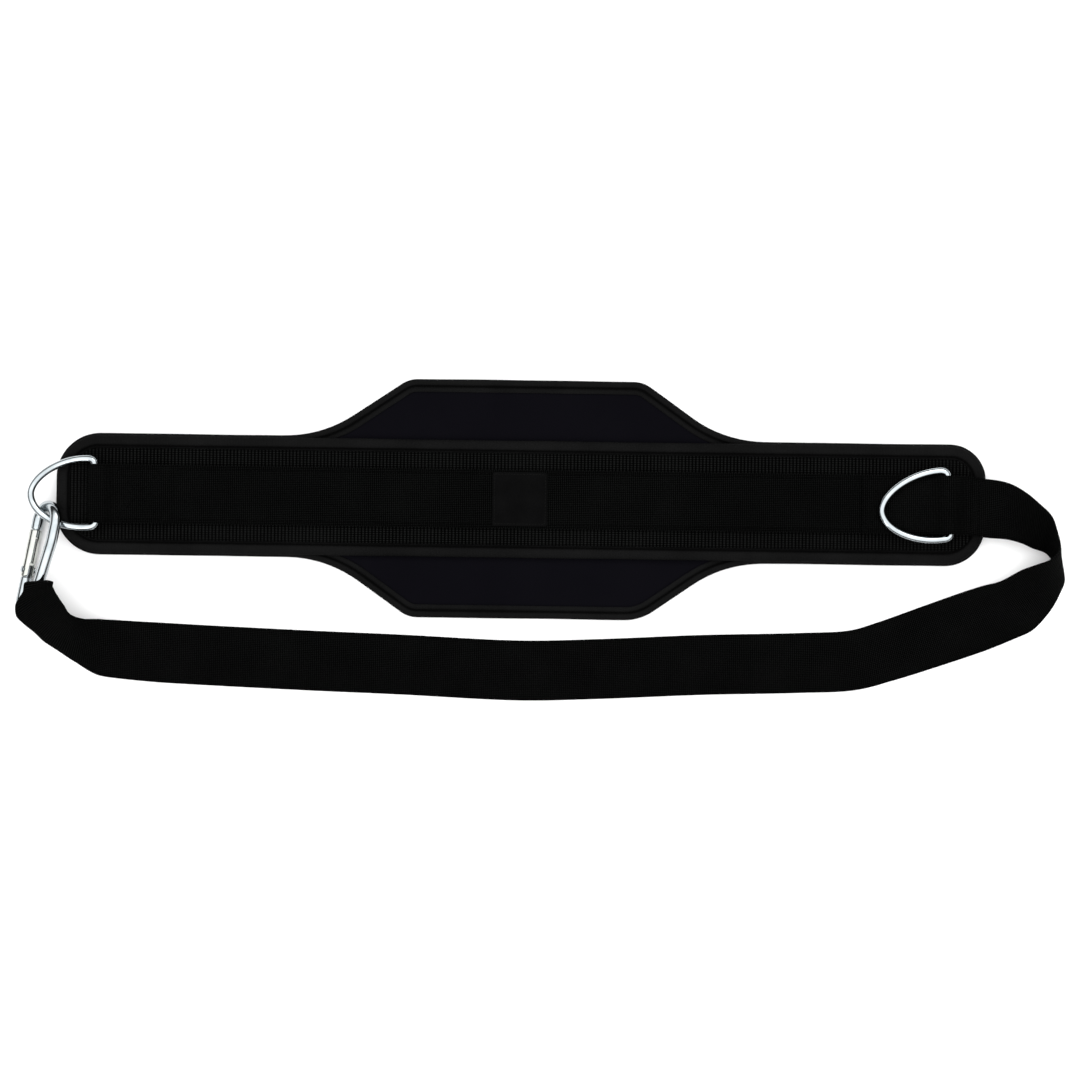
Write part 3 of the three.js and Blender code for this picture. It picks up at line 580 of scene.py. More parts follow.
def wide_webbing():
    strip = int((WIDE_EDGE - SHOWN_EDGE) / ROW_STEP)
    shown = [mixed(SHOWN_EDGE, WIDE_EDGE, k / strip) for k in range(strip + 1)]
    hidden = [mixed(-SHOWN_EDGE, SHOWN_EDGE, k / HIDDEN_COLUMNS) for k in range(1, HIDDEN_COLUMNS)]
    across = [-y for y in reversed(shown)] + hidden + shown
    columns = int(2 * WIDE_HALF / WIDE_STEP)
    rings, runs, sides = [], [], []
    for k in range(columns + 1):
        x = mixed(-WIDE_HALF, WIDE_HALF + END_LONGER, k / columns)
        radius = WIDE_RADIUS - (UPPER_SQUARER if x > 0 else 0.0)
        end = WIDE_HALF + END_LONGER if x > 0 else WIDE_HALF
        into_end = max(0.0, radius - (end - abs(x)))
        half = WIDE_EDGE - radius + math.sqrt(max(0.0, radius ** 2 - into_end ** 2))
        held = [math.copysign(min(abs(y), half + PRESSED * (abs(y) - half)), y) for y in across]
        ring = []
        for y in held:
            fall = EDGE_FALL * (1 - smooth((half - abs(y)) / EDGE_FALL_WIDTH))
            ring.append((x, y, WIDE_TOP - WIDE_RELIEF + wide_weave(x, y) - fall))
        ring += [(x, y, WIDE_BOTTOM) for y in (held[-1], held[-1] / 3, held[0] / 3, held[0])]
        rings.append(ring)
        runs += [x] * len(ring)
        sides += [point[1] for point in ring]
    points, faces = skin(rings)
    return build("wide_webbing_strip", points, faces, WIDE_WEB, "belt", runs, sides)


wide = wide_webbing()
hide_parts("wide_webbing")

# Narrow webbing: fine ribs on its faces, a thin selvedge at each edge and a slight sway in its height
RIB_RELIEF = 0.11
RUN_STEP = RIB / 4
FACE_COLUMNS, PLAIN_COLUMNS = 10, 3
SELVEDGE, SELVEDGE_THICK = 1.5, 0.62
STRAP_SWAY, STRAP_SWAY_ALONG, STRAP_SWAY_ACROSS = 0.12, 17.0, 1.4
UP = Vector((0.0, 0.0, 1.0))
ACROSS_Y = Vector((0.0, 1.0, 0.0))


def strap_section(face_columns, back_columns):
    """Points of the section as (share across, share of the half thickness), round the strap."""
    face = [(-1 + 2 * k / face_columns, 1.0) for k in range(face_columns + 1)]
    back = [(1 - 2 * k / back_columns, -1.0) for k in range(back_columns + 1)]
    return face + back


def ribbon(name, stations, section, ribs_below=True):
    """A strap through stations (middle, way across, width, run), with its ribs as real relief."""
    rings, runs, sides = [], [], []
    for i, (middle, across, width, run) in enumerate(stations):
        way = (stations[min(i + 1, len(stations) - 1)][0] - stations[max(i - 1, 0)][0]).normalized()
        up = way.cross(across).normalized()
        rib = RIB_RELIEF * math.cos(2 * math.pi * run / RIB)
        ring = []
        for share, level in section:
            edge = width / 2 * (1 - abs(share))
            thin = mixed(SELVEDGE_THICK, 1.0, smooth(edge / SELVEDGE))
            relief = rib * smooth(edge / (0.5 * SELVEDGE)) if level > 0 or ribs_below else 0.0
            sway = STRAP_SWAY * ripple(run / STRAP_SWAY_ALONG, share * STRAP_SWAY_ACROSS)
            height = level * (STRAP_THICK / 2 * thin + relief - RIB_RELIEF) + sway
            ring.append(middle + across * (share * width / 2) + up * height)
            runs.append(run)
            sides.append(share * width / 2)
        rings.append(ring)
    points, faces = skin(rings)
    return build(name, points, faces, NARROW_WEB, "belt", runs, sides)


def slope(from_x, from_z, to_x, to_z, steps=24):
    """A smooth change of height between two places along the strap."""
    shares = [k / steps for k in range(steps + 1)]
    return [(mixed(from_x, to_x, s), mixed(from_z, to_z, (1 - math.cos(math.pi * s)) / 2)) for s in shares]


def fold(angle):
    """A place on the strap's fold round the left ring's bar."""
    return LEFT_BAR + FOLD_RADIUS * math.cos(angle), LEFT_HEIGHT + FOLD_RADIUS * math.sin(angle)


FOLD_STEPS = 36
STRAP_END_INSET = 10.5
tail_end = LEFT_BAR + STRAP_TAIL
fold_top = LEFT_HEIGHT + FOLD_RADIUS
strap_route = [(tail_end, STRAP_MIDDLE)]
strap_route += [fold(-math.pi / 2 - math.pi * k / FOLD_STEPS) for k in range(FOLD_STEPS + 1)]
strap_route += slope(LEFT_BAR + FOLD_RADIUS, fold_top, LEFT_BAR + 3 * FOLD_RADIUS, TAB_MIDDLE)
strap_route += slope(tail_end + CLEARANCE, TAB_MIDDLE, tail_end + STRAP_STEP, STRAP_MIDDLE)
strap_route += [(BELT_HALF - STRAP_END_INSET, STRAP_MIDDLE)]
strap_line = [Vector((x, 0.0, z)) for x, z in strap_route]
belt_strap_stations = [(place, ACROSS_Y, STRAP_WIDTH, run) for place, run in walked(strap_line, RUN_STEP)]
belt_strap = ribbon(
    "belt_strap_webbing", belt_strap_stations, strap_section(FACE_COLUMNS, PLAIN_COLUMNS), ribs_below=False
)
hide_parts("belt_strap")

# Load strap: tab, arch, turn, return and the loop in the carabiner. The tables are those of the part's
# source, with some rows moved to where the cloth lies.
# x in half belt lengths, y in lobe halves, lift in tab heights, the angle across in plan and its lean
ROUTE = (
    (0.995, -0.02, 1.0, 90, 0),
    (1.046, -0.046, 0.72, 92, 18),
    (1.08, -0.099, 0.45, 92, 31),
    (1.104, -0.157, 0.2, 93, 42),
    (1.134, -0.236, 0.04, 95, 53),
    (1.147, -0.327, 0, 101, 60),
    (1.159, -0.428, 0, 122, 68),
    (1.153, -0.53, 0, 138, 59),
    (1.136, -0.604, 0, 137, 47),
    (1.111, -0.704, 0, 130, 30),
    (1.072, -0.834, 0.03, 125.5, 14),
    (1.0355, -0.891, 0.04, 122, 6),
    (0.978, -0.978, 0.03, 114, 2),
    (0.8865, -1.107, 0, 108, 0),
    (0.796, -1.23, 0, 103, 0),
    (0.7235, -1.311, 0, 96, 0),
    (0.609, -1.34, 0, 91, 0),
    (0.3935, -1.369, 0, 90, 0),
    (0.1775, -1.414, 0, 90, 0),
    (0.005, -1.436, 0, 90, 0),
    (-0.254, -1.4, 0, 90, 0),
    (-0.47, -1.374, 0, 90, 0),
    (-0.773, -1.327, 0, 90, 0),
)
# Inner edge x, y and z, then outer edge, in strap widths from the end of the carabiner's narrow bend
RISE = (
    (1.58, -0.15, 0.05, 1.58, -1.19, 0.03),
    (1.26, -0.15, 0.22, 1.2, -1.11, 0.03),
    (1.05, -0.15, 0.5, 0.84, -0.9, 0.04),
    (0.91, -0.11, 0.68, 0.53, -0.7, 0.06),
    (0.81, -0.04, 0.76, 0.29, -0.54, 0.1),
    (0.74, 0.08, 0.8, 0.14, -0.39, 0.16),
    (0.64, 0.23, 0.83, -0.03, -0.24, 0.27),
    (0.57, 0.36, 0.85, -0.13, -0.11, 0.41),
    (0.535, 0.43, 0.82, -0.135, 0.08, 0.48),
    (0.51, 0.46, 0.78, -0.005, 0.3, 0.52),
    (0.45, 0.49, 0.71, 0.025, 0.45, 0.53),
)
# The loop's way down through the carabiner and back under itself
LOOP_TAIL = (
    (0.52, 0.47, 0.61, 0.03, 0.42, 0.44),
    (0.45, 0.37, 0.37, 0.04, 0.35, 0.32),
    (0.34, 0.27, 0.22, 0.09, 0.26, 0.20),
    (0.35, 0.20, 0.18, 0.07, 0.16, 0.13),
    (0.37, 0.11, 0.22, -0.06, 0.05, 0.09),
    (0.55, 0.07, 0.49, 0.01, -0.15, 0.07),
    (0.70, 0.04, 0.67, 0.17, -0.36, 0.09),
    (0.78, -0.06, 0.68, 0.30, -0.51, 0.05),
)
BEND_END = Vector((-411.933, -97.726, 0.0))
# The route's rows with y below this have left the tab, and are as wide as the strap lies
ROUTE_TURN = -0.15
LAID_WIDTH, TURN_WIDTH = 50.3, 53.0
TURN_PLACE, TURN_SPREAD = 0.97, 0.13


def laid_width(x):
    """The strap lies a little wider than on the belt, most where it comes out of its turn."""
    return mixed(LAID_WIDTH, TURN_WIDTH, math.exp(-(((x - TURN_PLACE) / TURN_SPREAD) ** 2)))


def route_station(x, y, lift, across, lean):
    across, lean = math.radians(across), math.radians(lean)
    standing = STRAP_WIDTH / 2 * math.sin(lean) + STRAP_THICK / 2 * math.cos(lean)
    middle = Vector((x * BELT_HALF, y * LOBE_EDGE, lift * (TAB_MIDDLE - STRAP_THICK / 2) + standing))
    way = Vector((math.cos(lean) * math.cos(across), math.cos(lean) * math.sin(across), math.sin(lean)))
    return middle, way, laid_width(x) if y < ROUTE_TURN else STRAP_WIDTH


def edge_station(inner_x, inner_y, inner_z, outer_x, outer_y, outer_z):
    inner = Vector((inner_x, inner_y, inner_z)) * STRAP_WIDTH + BEND_END
    outer = Vector((outer_x, outer_y, outer_z)) * STRAP_WIDTH + BEND_END
    return (inner + outer) / 2, (inner - outer).normalized(), min((inner - outer).length, STRAP_WIDTH)


def curve_point(controls, span, share):
    """A centripetal Catmull-Rom curve, the one that the part's source runs its strap on."""
    last = len(controls) - 1
    p1, p2 = controls[span], controls[span + 1]
    p0 = controls[span - 1] if span > 0 else p1 * 2 - p2
    p3 = controls[span + 2] if span + 2 <= last else p2 * 2 - p1
    d0, d1, d2 = (max((b - a).length, 1e-6) ** 0.5 for a, b in ((p0, p1), (p1, p2), (p2, p3)))
    t1 = ((p1 - p0) / d0 - (p2 - p0) / (d0 + d1) + (p2 - p1) / d1) * d1
    t2 = ((p2 - p1) / d1 - (p3 - p1) / (d1 + d2) + (p3 - p2) / d2) * d1
    c2 = (p2 - p1) * 3 - t1 * 2 - t2
    c3 = (p1 - p2) * 2 + t1 + t2
    return p1 + t1 * share + c2 * share ** 2 + c3 * share ** 3


def free_stations(rows, steps=30):
    """Close stations through the given ones, each raised where it would dip under the surface."""
    middles = [row[0] for row in rows]
    ways = [row[1] for row in rows]
    stations = []
    for span in range(len(rows) - 1):
        for k in range(steps):
            share = k / steps
            middle = curve_point(middles, span, share)
            way = curve_point(ways, span, share).normalized()
            width = mixed(rows[span][2], rows[span + 1][2], share)
            lowest = middle.z - width / 2 * abs(way.z) - STRAP_THICK / 2 * math.hypot(way.x, way.y)
            stations.append((middle + UP * max(0.0, -lowest), way, width))
    return stations + [rows[-1]]


def evened_stations(stations, step):
    """The stations again at even steps along the strap, with the run to each."""
    evened = []
    for place, run, span, share in paced([station[0] for station in stations], step):
        way = stations[span][1].lerp(stations[span + 1][1], share).normalized()
        evened.append((place, way, mixed(stations[span][2], stations[span + 1][2], share), run))
    return evened


ARCH_STEPS = 60
arch_rise = RIGHT_HEIGHT + WIRE_HALF + ARCH_ROOM + STRAP_THICK / 2 - TAB_MIDDLE
tab_stations = [(Vector((RIGHT_BAR - TAB_LENGTH, 0.0, TAB_MIDDLE)), ACROSS_Y, STRAP_WIDTH)]
for step in range(ARCH_STEPS + 1):
    share = -1 + 2 * step / ARCH_STEPS
    height = TAB_MIDDLE + arch_rise * (1 + math.cos(math.pi * share)) / 2
    tab_stations.append((Vector((RIGHT_BAR + share * ARCH_HALF, 0.0, height)), ACROSS_Y, STRAP_WIDTH))
strap_rows = [route_station(*row) for row in ROUTE] + [edge_station(*row) for row in RISE + LOOP_TAIL]
load_stations = evened_stations(tab_stations + free_stations(strap_rows), RUN_STEP)
load_strap = ribbon("load_strap_webbing", load_stations, strap_section(FACE_COLUMNS, FACE_COLUMNS))
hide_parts("load_strap")


# D-rings: round wire bent to a D, its bar on the local Y axis and its bow towards -X
def wire_loop(path, radius, sides=24):
    rings = []
    for i, point in enumerate(path):
        along = (path[(i + 1) % len(path)] - path[i - 1]).normalized()
        out = Vector((along.y, -along.x, 0.0))
        angles = [2 * math.pi * k / sides for k in range(sides)]
        rings.append([point + out * (radius * math.cos(a)) + UP * (radius * math.sin(a)) for a in angles])
    return skin(rings, loop=True)


def ring_corner(middle, start, steps=12):
    """A quarter round between the bar and a leg, about a middle on the local Y axis."""
    angles = [math.radians(start + 90 * k / steps) for k in range(steps + 1)]
    x_and_y = [(RING_CORNER * (math.cos(a) - 1), middle + RING_CORNER_DEEP * math.sin(a)) for a in angles]
    return [Vector((x, y, 0.0)) for x, y in x_and_y]


def ring_bow(reach, upper, lower, lean, steps=90):
    """The bow from the upper leg to the lower one: a power near 1 draws a quarter in to a straighter leg."""
    points = []
    for k in range(steps + 1):
        angle = math.radians(90 + 180 * k / steps)
        power = 2 / (upper if k < steps / 2 else lower)
        x = -RING_LEG - reach * abs(math.cos(angle)) ** power
        y = math.copysign(RING_HALF * abs(math.sin(angle)) ** power, math.sin(angle))
        points.append(Vector((x, y + lean * (x + RING_CORNER), 0.0)))
    return points


def d_ring(name, node_name, body, place, turn, bow):
    middle = RING_HALF - RING_CORNER_DEEP
    path = ring_corner(middle, 0) + ring_bow(*bow) + ring_corner(-middle, -90)
    points, faces = wire_loop(path, WIRE_HALF)
    piece = build(name, [turn @ point + place for point in points], faces, ZINC, body)
    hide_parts(node_name)


left_turn = Matrix.Rotation(LEFT_YAW, 3, "Z") @ Matrix.Rotation(-LEFT_DROOP, 3, "Y")
left_place = Vector((LEFT_BAR, LEFT_ASIDE, LEFT_HEIGHT))
d_ring("left_ring_wire", "left_d_ring", "belt", left_place, left_turn, LEFT_BOW)
right_turn = Matrix.Rotation(RIGHT_YAW, 3, "Z")
right_place = Vector((RIGHT_BAR, RIGHT_ASIDE, RIGHT_HEIGHT))
d_ring("right_ring_wire", "right_d_ring", "right_ring", right_place, right_turn, RIGHT_BOW)

# Carabiner, made in its own frame: x down the gate limb, y to the spine, z out of its plane
CARABINER_LENGTH, CARABINER_WIRE = 98.0, 9.5
WIDE_END, NARROW_END, SHOULDER = 28.0, 18.5, 28.0
NOSE_END, PIVOT, GATE_END = 21.5, 56.0, 62.0
CROWN_TRIM, HEEL_SHARE, HEEL_TRIM = 0.2, 0.86, 1.4
GATE_WIRE, FORK_LENGTH, SWING_ROOM = 10.2, 12.0, 0.6
TONGUE, TONGUE_WIDTH, NOSE_LENGTH, NOSE_TONGUE = 4.2, 7.5, 6.5, 3.0
RIVET_SHANK, RIVET_HEAD, RIVET_EDGE = 1.7, 2.7, 0.15
SHARP_ANGLE = math.radians(38.0)
CARABINER_TURN, CARABINER_TILT = math.radians(10.9), math.radians(50.0)
GATE_TOP = Vector((-401.037, -9.698, 6.418))
down_limb = Vector((-math.sin(CARABINER_TURN), -math.cos(CARABINER_TURN), 0.0))
to_spine = Vector((math.cos(CARABINER_TURN), -math.sin(CARABINER_TURN), math.tan(CARABINER_TILT)))
to_spine.normalize()
CARABINER_FRAME = Matrix((down_limb, to_spine, down_limb.cross(to_spine))).transposed()


def bare_object(points, faces):
    """A mesh in millimetres that is only used to join or cut another."""
    mesh = bpy.data.meshes.new("shape")
    mesh.from_pydata(points, [], faces)
    face_outwards(mesh)
    return added("shape", mesh)


def slab(x0, x1, half_y, half_z, bevel=0.0):
    """A block along the limb's axis, with its edges rounded by a bevel."""
    points = [(x, y, z) for x in (x0, x1) for y in (-half_y, half_y) for z in (-half_z, half_z)]
    faces = [(0, 1, 3, 2), (4, 6, 7, 5), (0, 4, 5, 1), (2, 3, 7, 6), (0, 2, 6, 4), (1, 5, 7, 3)]
    shape = bare_object(points, faces)
    if bevel:
        rounding = shape.modifiers.new("bevel", "BEVEL")
        rounding.width = bevel
        rounding.segments = 3
    return shape


def lathe(profile, axis, centre, sides=36):
    """A turned shape from (along, radius) rows about an axis through a centre."""
    along = Vector(axis)
    first = along.orthogonal().normalized()
    second = along.cross(first)
    angles = [2 * math.pi * k / sides for k in range(sides)]
    rings = []
    for height, radius in profile:
        middle = Vector(centre) + along * height
        rings.append([middle + (first * math.cos(a) + second * math.sin(a)) * radius for a in angles])
    return bare_object(*skin(rings))


def carved(base, steps):
    """The base with each (operation, shape) applied, as a mesh of its own."""
    for operation, shape in steps:
        cut = base.modifiers.new(operation.lower(), "BOOLEAN")
        cut.operation = operation
        cut.solver = "EXACT"
        cut.object = shape
    graph = bpy.context.evaluated_depsgraph_get()
    mesh = bpy.data.meshes.new_from_object(base.evaluated_get(graph))
    for shape in [base] + [step[1] for step in steps]:
        bpy.data.objects.remove(shape)
    return mesh


def carabiner_piece(name, mesh, node_name, body, material=ZINC):
    for vertex in mesh.vertices:
        vertex.co = (CARABINER_FRAME @ vertex.co + GATE_TOP) * MM
    mesh.materials.clear()
    piece = finish_piece(name, mesh, material, body)
    mesh.set_sharp_from_angle(angle=SHARP_ANGLE)
    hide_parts(node_name)


LIMB_HALF = CARABINER_WIRE / 2
GATE_HALF = GATE_WIRE / 2
body_length = CARABINER_LENGTH - CARABINER_WIRE
crown_radius = WIDE_END / 2 - CROWN_TRIM
heel_radius = NARROW_END / 2 - HEEL_TRIM
loop_corners = [
    (body_length, 0.0, heel_radius),
    (body_length, NARROW_END * HEEL_SHARE, heel_radius),
    (body_length - NARROW_END / 2, NARROW_END, NARROW_END),
    (SHOULDER, WIDE_END, WIDE_END),
    (0.0, WIDE_END, crown_radius),
    (0.0, 0.0, crown_radius),
]
# The limb's two cut ends are eased: how far the easing reaches and the radii along it
END_EASE = 0.7
END_RADII = (LIMB_HALF - END_EASE, LIMB_HALF - 0.2 * END_EASE, LIMB_HALF)
limb_start = GATE_END + CLEARANCE
limb_x = (limb_start, limb_start + END_EASE / 2, limb_start + END_EASE)
nose_x = (NOSE_END - END_EASE, NOSE_END - END_EASE / 2, NOSE_END)
body_path = [Vector((x, 0.0)) for x in limb_x]
body_path += rounded_outline(loop_corners, 5.0)
body_path += [Vector((x, 0.0)) for x in nose_x]


def open_rod(path, radius, end_radii, sides=28):
    """A round rod along a line in its own plane, with its ends' rings in the sizes given."""
    rings = []
    last = len(path) - 1
    angles = [2 * math.pi * (k + 0.5) / sides for k in range(sides)]
    for i, point in enumerate(path):
        along = (path[min(i + 1, last)] - path[max(i - 1, 0)]).normalized()
        from_end = min(i, last - i)
        size = end_radii[from_end] if from_end < len(end_radii) else radius
        ring = []
        for a in angles:
            out = size * math.cos(a)
            ring.append(Vector((point.x + along.y * out, point.y - along.x * out, size * math.sin(a))))
        rings.append(ring)
    return bare_object(*skin(rings))


ROOTED, PAST = 2.0, 1.0
TONGUE_BEVEL, NOSE_BEVEL, SLOT_BEVEL = 0.5, 0.4, 0.3
tongue = slab(PIVOT - TONGUE_WIDTH / 2, GATE_END + ROOTED, TONGUE_WIDTH / 2, TONGUE / 2, TONGUE_BEVEL)
nose = slab(NOSE_END - ROOTED, NOSE_END + NOSE_LENGTH, NOSE_TONGUE, NOSE_TONGUE / 2, NOSE_BEVEL)
frame_mesh = carved(open_rod(body_path, LIMB_HALF, END_RADII), [("UNION", tongue), ("UNION", nose)])
carabiner_piece("carabiner_frame", frame_mesh, "carabiner_body", "belt")

# The gate: a tube with eased ends, forked over the limb's tongue and slotted for the nose
X_AXIS, Z_AXIS = (1.0, 0.0, 0.0), (0.0, 0.0, 1.0)
gate_start = NOSE_END + SWING_ROOM
gate_profile = [
    (gate_start, GATE_HALF - 0.7),
    (gate_start + 0.25, GATE_HALF - 0.2),
    (gate_start + 0.8, GATE_HALF),
    (GATE_END - 0.4, GATE_HALF),
    (GATE_END, GATE_HALF - 0.4),
]
gate_rod = lathe(gate_profile, X_AXIS, (0.0, 0.0, 0.0), 40)
reach = GATE_HALF + PAST
fork_slot = slab(GATE_END - FORK_LENGTH, GATE_END + PAST, reach, TONGUE / 2 + CLEARANCE, SLOT_BEVEL)
nose_slot = slab(
    gate_start - PAST, gate_start + NOSE_LENGTH + SWING_ROOM, reach, NOSE_TONGUE / 2 + CLEARANCE, SLOT_BEVEL
)
fork_end = slab(PIVOT, GATE_END + PAST, reach, reach)
fork_radius = GATE_END - PIVOT
fork_round = lathe(((-GATE_WIRE, fork_radius), (GATE_WIRE, fork_radius)), Z_AXIS, (PIVOT, 0.0, 0.0), 48)
fork_cutter = added("shape", carved(fork_end, [("DIFFERENCE", fork_round)]))
gate_mesh = carved(gate_rod, [("DIFFERENCE", cutter) for cutter in (fork_cutter, fork_slot, nose_slot)])
carabiner_piece("carabiner_gate_tube", gate_mesh, "carabiner_gate", "gate", PALE_ZINC)

# The rivet's two heads, each a row of heights above its underside and radii, and the shank between them
head_start = GATE_HALF + CLEARANCE
HEAD_PROFILE = (
    (0.0, RIVET_HEAD - RIVET_EDGE),
    (0.3, RIVET_HEAD),
    (0.6, 0.84 * RIVET_HEAD),
    (0.9, 0.4 * RIVET_HEAD),
)
upper_head = [(head_start + rise, radius) for rise, radius in HEAD_PROFILE]
rivet_profile = [(-along, radius) for along, radius in reversed(upper_head)]
rivet_profile += [(-head_start, RIVET_SHANK), (head_start, RIVET_SHANK)] + upper_head
rivet_mesh = carved(lathe(rivet_profile, Z_AXIS, (PIVOT, 0.0, 0.0)), [])
carabiner_piece("gate_rivet_pin", rivet_mesh, "gate_rivet", "belt")


# Label: a plain woven patch, a little proud of the strap and held down at its edge
LABEL_SEAM, LABEL_SEAM_WIDTH, LABEL_SEAM_DEPTH = 1.8, 0.7, 0.28
LABEL_EDGE_THICK, LABEL_EDGE_WIDTH = 0.35, 1.4
LABEL_RIPPLE, LABEL_RIPPLE_LENGTH = 0.03, 6.0
LABEL_INSETS = (0.0, 0.4, 0.9, 1.4, 1.8, 2.3, 3.0)
LABEL_STEP, LABEL_GRID, LABEL_CORNER_ANGLE = 0.9, 2.0, 15


def label_top(x, y, d):
    weave = LABEL_RIPPLE * ripple(x / LABEL_RIPPLE_LENGTH, y / LABEL_RIPPLE_LENGTH, 2.0)
    seam = LABEL_SEAM_DEPTH * math.exp(-(((d - LABEL_SEAM) / LABEL_SEAM_WIDTH) ** 2))
    return OVER_STRAP + mixed(LABEL_EDGE_THICK, LABEL_THICK, smooth(d / LABEL_EDGE_WIDTH)) - seam + weave


def label_bottom(x, y, d):
    return OVER_STRAP


label_corners = rectangle(LABEL_HALF_WIDTH, LABEL_HALF_HEIGHT, LABEL_RADIUS)
label_round = walked(rounded_outline(label_corners, LABEL_CORNER_ANGLE), LABEL_STEP, closed=True)
label_edge = [point for point, _ in label_round]
label_points, label_faces = padded_body(label_edge, LABEL_INSETS, LABEL_GRID, label_top, label_bottom)
label_x, label_y = ([point[axis] for point in label_points] for axis in (0, 1))
label = build(
    "label_patch_plain", label_points, label_faces, LABEL_SATIN, "belt", label_x, label_y
)
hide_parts("label_patch")

# Stitches: short rounded threads lying in their seam lines, with their ends sunk in
STITCH_SIDES = 6
STITCH_SINK = 0.12
STITCH_TWIST = 0.4
STITCH_ENDS = ((-0.5, 0.35), (-0.38, 0.9), (0.0, 1.0), (0.38, 0.9), (0.5, 0.35))
# Pitch, length and radius
TAPE_STITCH = (3.4, 2.5, 0.3)
WEB_STITCH = (3.0, 2.2, 0.26)
LABEL_STITCH = (2.6, 1.9, 0.22)


def stitch_run(line, pitch, length, radius, closed=False):
    """Rings of each stitch along a line of points."""
    threads = []
    places = walked(line, pitch, closed)
    angles = [2 * math.pi * k / STITCH_SIDES for k in range(STITCH_SIDES)]
    for i in range(len(places) if closed else len(places) - 1):
        start = places[i][0]
        end = places[(i + 1) % len(places)][0]
        along = (end - start).normalized()
        out = along.cross(UP).normalized()
        up = out.cross(along)
        centre = (start + end) / 2
        rings = []
        for share, size in STITCH_ENDS:
            middle = centre + along * (share * length) - up * (STITCH_SINK * (2 * share) ** 2)
            rings.append([middle + (out * math.cos(a) + up * math.sin(a)) * (radius * size) for a in angles])
        threads.append(rings)
    return threads


def stitch_piece(name, threads, material=THREAD):
    points, faces, runs = [], [], []
    for rings in threads:
        more, quads = skin(rings)
        start = len(points)
        points += more
        faces += [tuple(i + start for i in face) for face in quads]
        runs += [k * STITCH_TWIST for k in range(len(more))]
    build(name, points, faces, material, "belt", runs, runs)


def seam_line(outline, away, height):
    ways = inward_ways(outline)
    return [(point + way * away).to_3d() + UP * height for point, way in zip(outline, ways)]


def straight(points, height):
    return [Vector((x, y, height)) for x, y in points]


def box_with_cross(x0, x1, half_y, height):
    around = [(x0, -half_y), (x1, -half_y), (x1, half_y), (x0, half_y), (x0, -half_y)]
    rising, falling = [(x0, -half_y), (x1, half_y)], [(x0, half_y), (x1, -half_y)]
    return [straight(points, height) for points in (around, rising, falling)]


# How deep the threads' middles lie under the cloth's top
BACK_SUNK, BAND_SUNK, LABEL_SUNK = 0.6, 0.8, 0.16
back_line = seam_line(BACK_EDGE, BACK_GROOVE, BACK_TOP - BACK_SUNK)
band_line = seam_line(BAND_EDGE_LINE, BAND_GROOVE, BAND_TOP - BAND_SUNK)
tape_threads = stitch_run(back_line, *TAPE_STITCH, closed=True)
tape_threads += stitch_run(band_line, *TAPE_STITCH, closed=True)
stitch_piece("binding_stitches", tape_threads)

# Boxes with crosses hold the fold's tail and the tab, rows hold the tab past the ring, and two long
# lines hold the belt strap between them
strap_top = STRAP_BOTTOM + STRAP_THICK
tab_top = OVER_STRAP + STRAP_THICK
tab_end = RIGHT_BAR - TAB_LENGTH
EDGE_SEAM = STRAP_WIDTH / 2 - 3.5
LEFT_BOX_START, BOX_INSET, TAB_BOX_END = 18.0, 3.0, 36.0
ROW_START, ROWS = 1.5, (0.0, 2.4, 9.0)
LONG_LINE_INSET = 2.0
lines = box_with_cross(LEFT_BAR + LEFT_BOX_START, tail_end - BOX_INSET, EDGE_SEAM, tab_top)
lines += box_with_cross(tab_end + BOX_INSET, tab_end + TAB_BOX_END, EDGE_SEAM, tab_top)
right_row = RIGHT_BAR + ARCH_HALF + ROW_START
for x in (right_row + k for k in ROWS):
    lines.append(straight([(x, -EDGE_SEAM), (x, EDGE_SEAM)], tab_top))
long_start, long_end = tail_end + STRAP_STEP + LONG_LINE_INSET, tab_end - LONG_LINE_INSET
for y in (-EDGE_SEAM, EDGE_SEAM):
    lines.append(straight([(long_start, y), (long_end, y)], strap_top))
strap_threads = [rings for line in lines for rings in stitch_run(line, *WEB_STITCH)]
stitch_piece("strap_stitches", strap_threads)
label_line = seam_line(label_edge, LABEL_SEAM, OVER_STRAP + LABEL_THICK - LABEL_SUNK)
label_threads = stitch_run(label_line, *LABEL_STITCH, closed=True)
stitch_piece("label_stitches", label_threads, EDGE_THREAD)

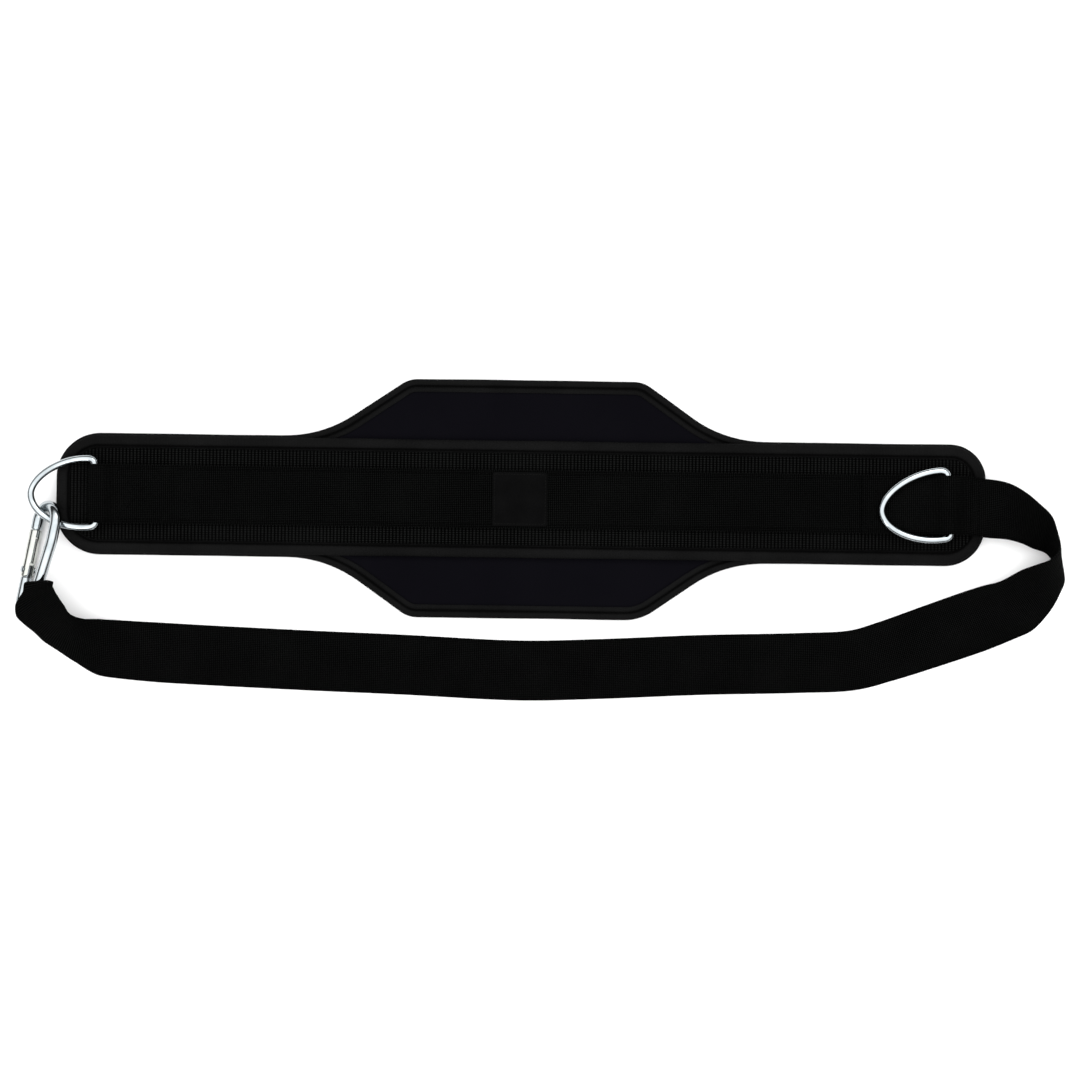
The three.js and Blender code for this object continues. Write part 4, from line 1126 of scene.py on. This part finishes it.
# Floor, lights and view
FLOOR_HALF, FLOOR_DROP = 3.0, -0.0002
FLOOR_DARK, FLOOR_LIGHT, FLOOR_CLOUD_SCALE = grey(0.93), grey(0.95), 3.0
floor_mesh = bpy.data.meshes.new("floor")
floor_plan = ((-1, -1), (1, -1), (1, 1), (-1, 1))
floor_corners = [(x * FLOOR_HALF, y * FLOOR_HALF, FLOOR_DROP) for x, y in floor_plan]
floor_mesh.from_pydata(floor_corners, [], [(0, 1, 2, 3)])
floor_material, floor_tree, floor_shader = surface("floor_paper", roughness=0.9, specular=0.1)
floor_cloud = noise_node(floor_tree, object_place(floor_tree), FLOOR_CLOUD_SCALE)
floor_tint = colour_mix(floor_tree, floor_cloud, FLOOR_DARK, FLOOR_LIGHT)
floor_tree.links.new(floor_tint, floor_shader.inputs["Base Color"])
floor_mesh.materials.append(floor_material)
floor = added("floor", floor_mesh)


LIGHT_TARGET = (0.0, -0.03, 0.0)


def area_light(name, place, size, power):
    data = bpy.data.lights.new(name, "AREA")
    data.shape = "RECTANGLE"
    data.size, data.size_y = size
    data.energy = power
    light = added(name, data)
    light.location = place
    light.rotation_euler = (Vector(LIGHT_TARGET) - Vector(place)).to_track_quat("-Z", "Y").to_euler()


area_light("key", place=(0.5, 1.5, 1.7), size=(1.6, 0.7), power=14.0)
area_light("fill", place=(-1.1, -1.5, 1.5), size=(0.35, 1.6), power=8.0)
# A bright ceiling over dark walls, which the wires reflect as streaks and dark lines
WALL_LIGHT, CEILING_LIGHT = 0.05, 2.4
WALL_TOP, CEILING_START = 0.3, 0.85
world = bpy.data.worlds.new("studio")
world.use_nodes = True
sky = world.node_tree
direction = node(sky, "ShaderNodeTexCoord").outputs["Generated"]
sky_height = node(sky, "ShaderNodeSeparateXYZ", {0: direction}).outputs["Z"]
sky_range = {"Value": sky_height, "From Min": WALL_TOP, "From Max": CEILING_START}
sky_range.update({"To Min": WALL_LIGHT, "To Max": CEILING_LIGHT})
ceiling = node(sky, "ShaderNodeMapRange", sky_range, interpolation_type="SMOOTHSTEP")
background = sky.nodes["Background"]
background.inputs["Color"].default_value = (1.0, 1.0, 1.0, 1.0)
sky.links.new(ceiling.outputs[0], background.inputs["Strength"])
bpy.context.scene.world = world
bpy.context.scene.view_settings.view_transform = "Standard"
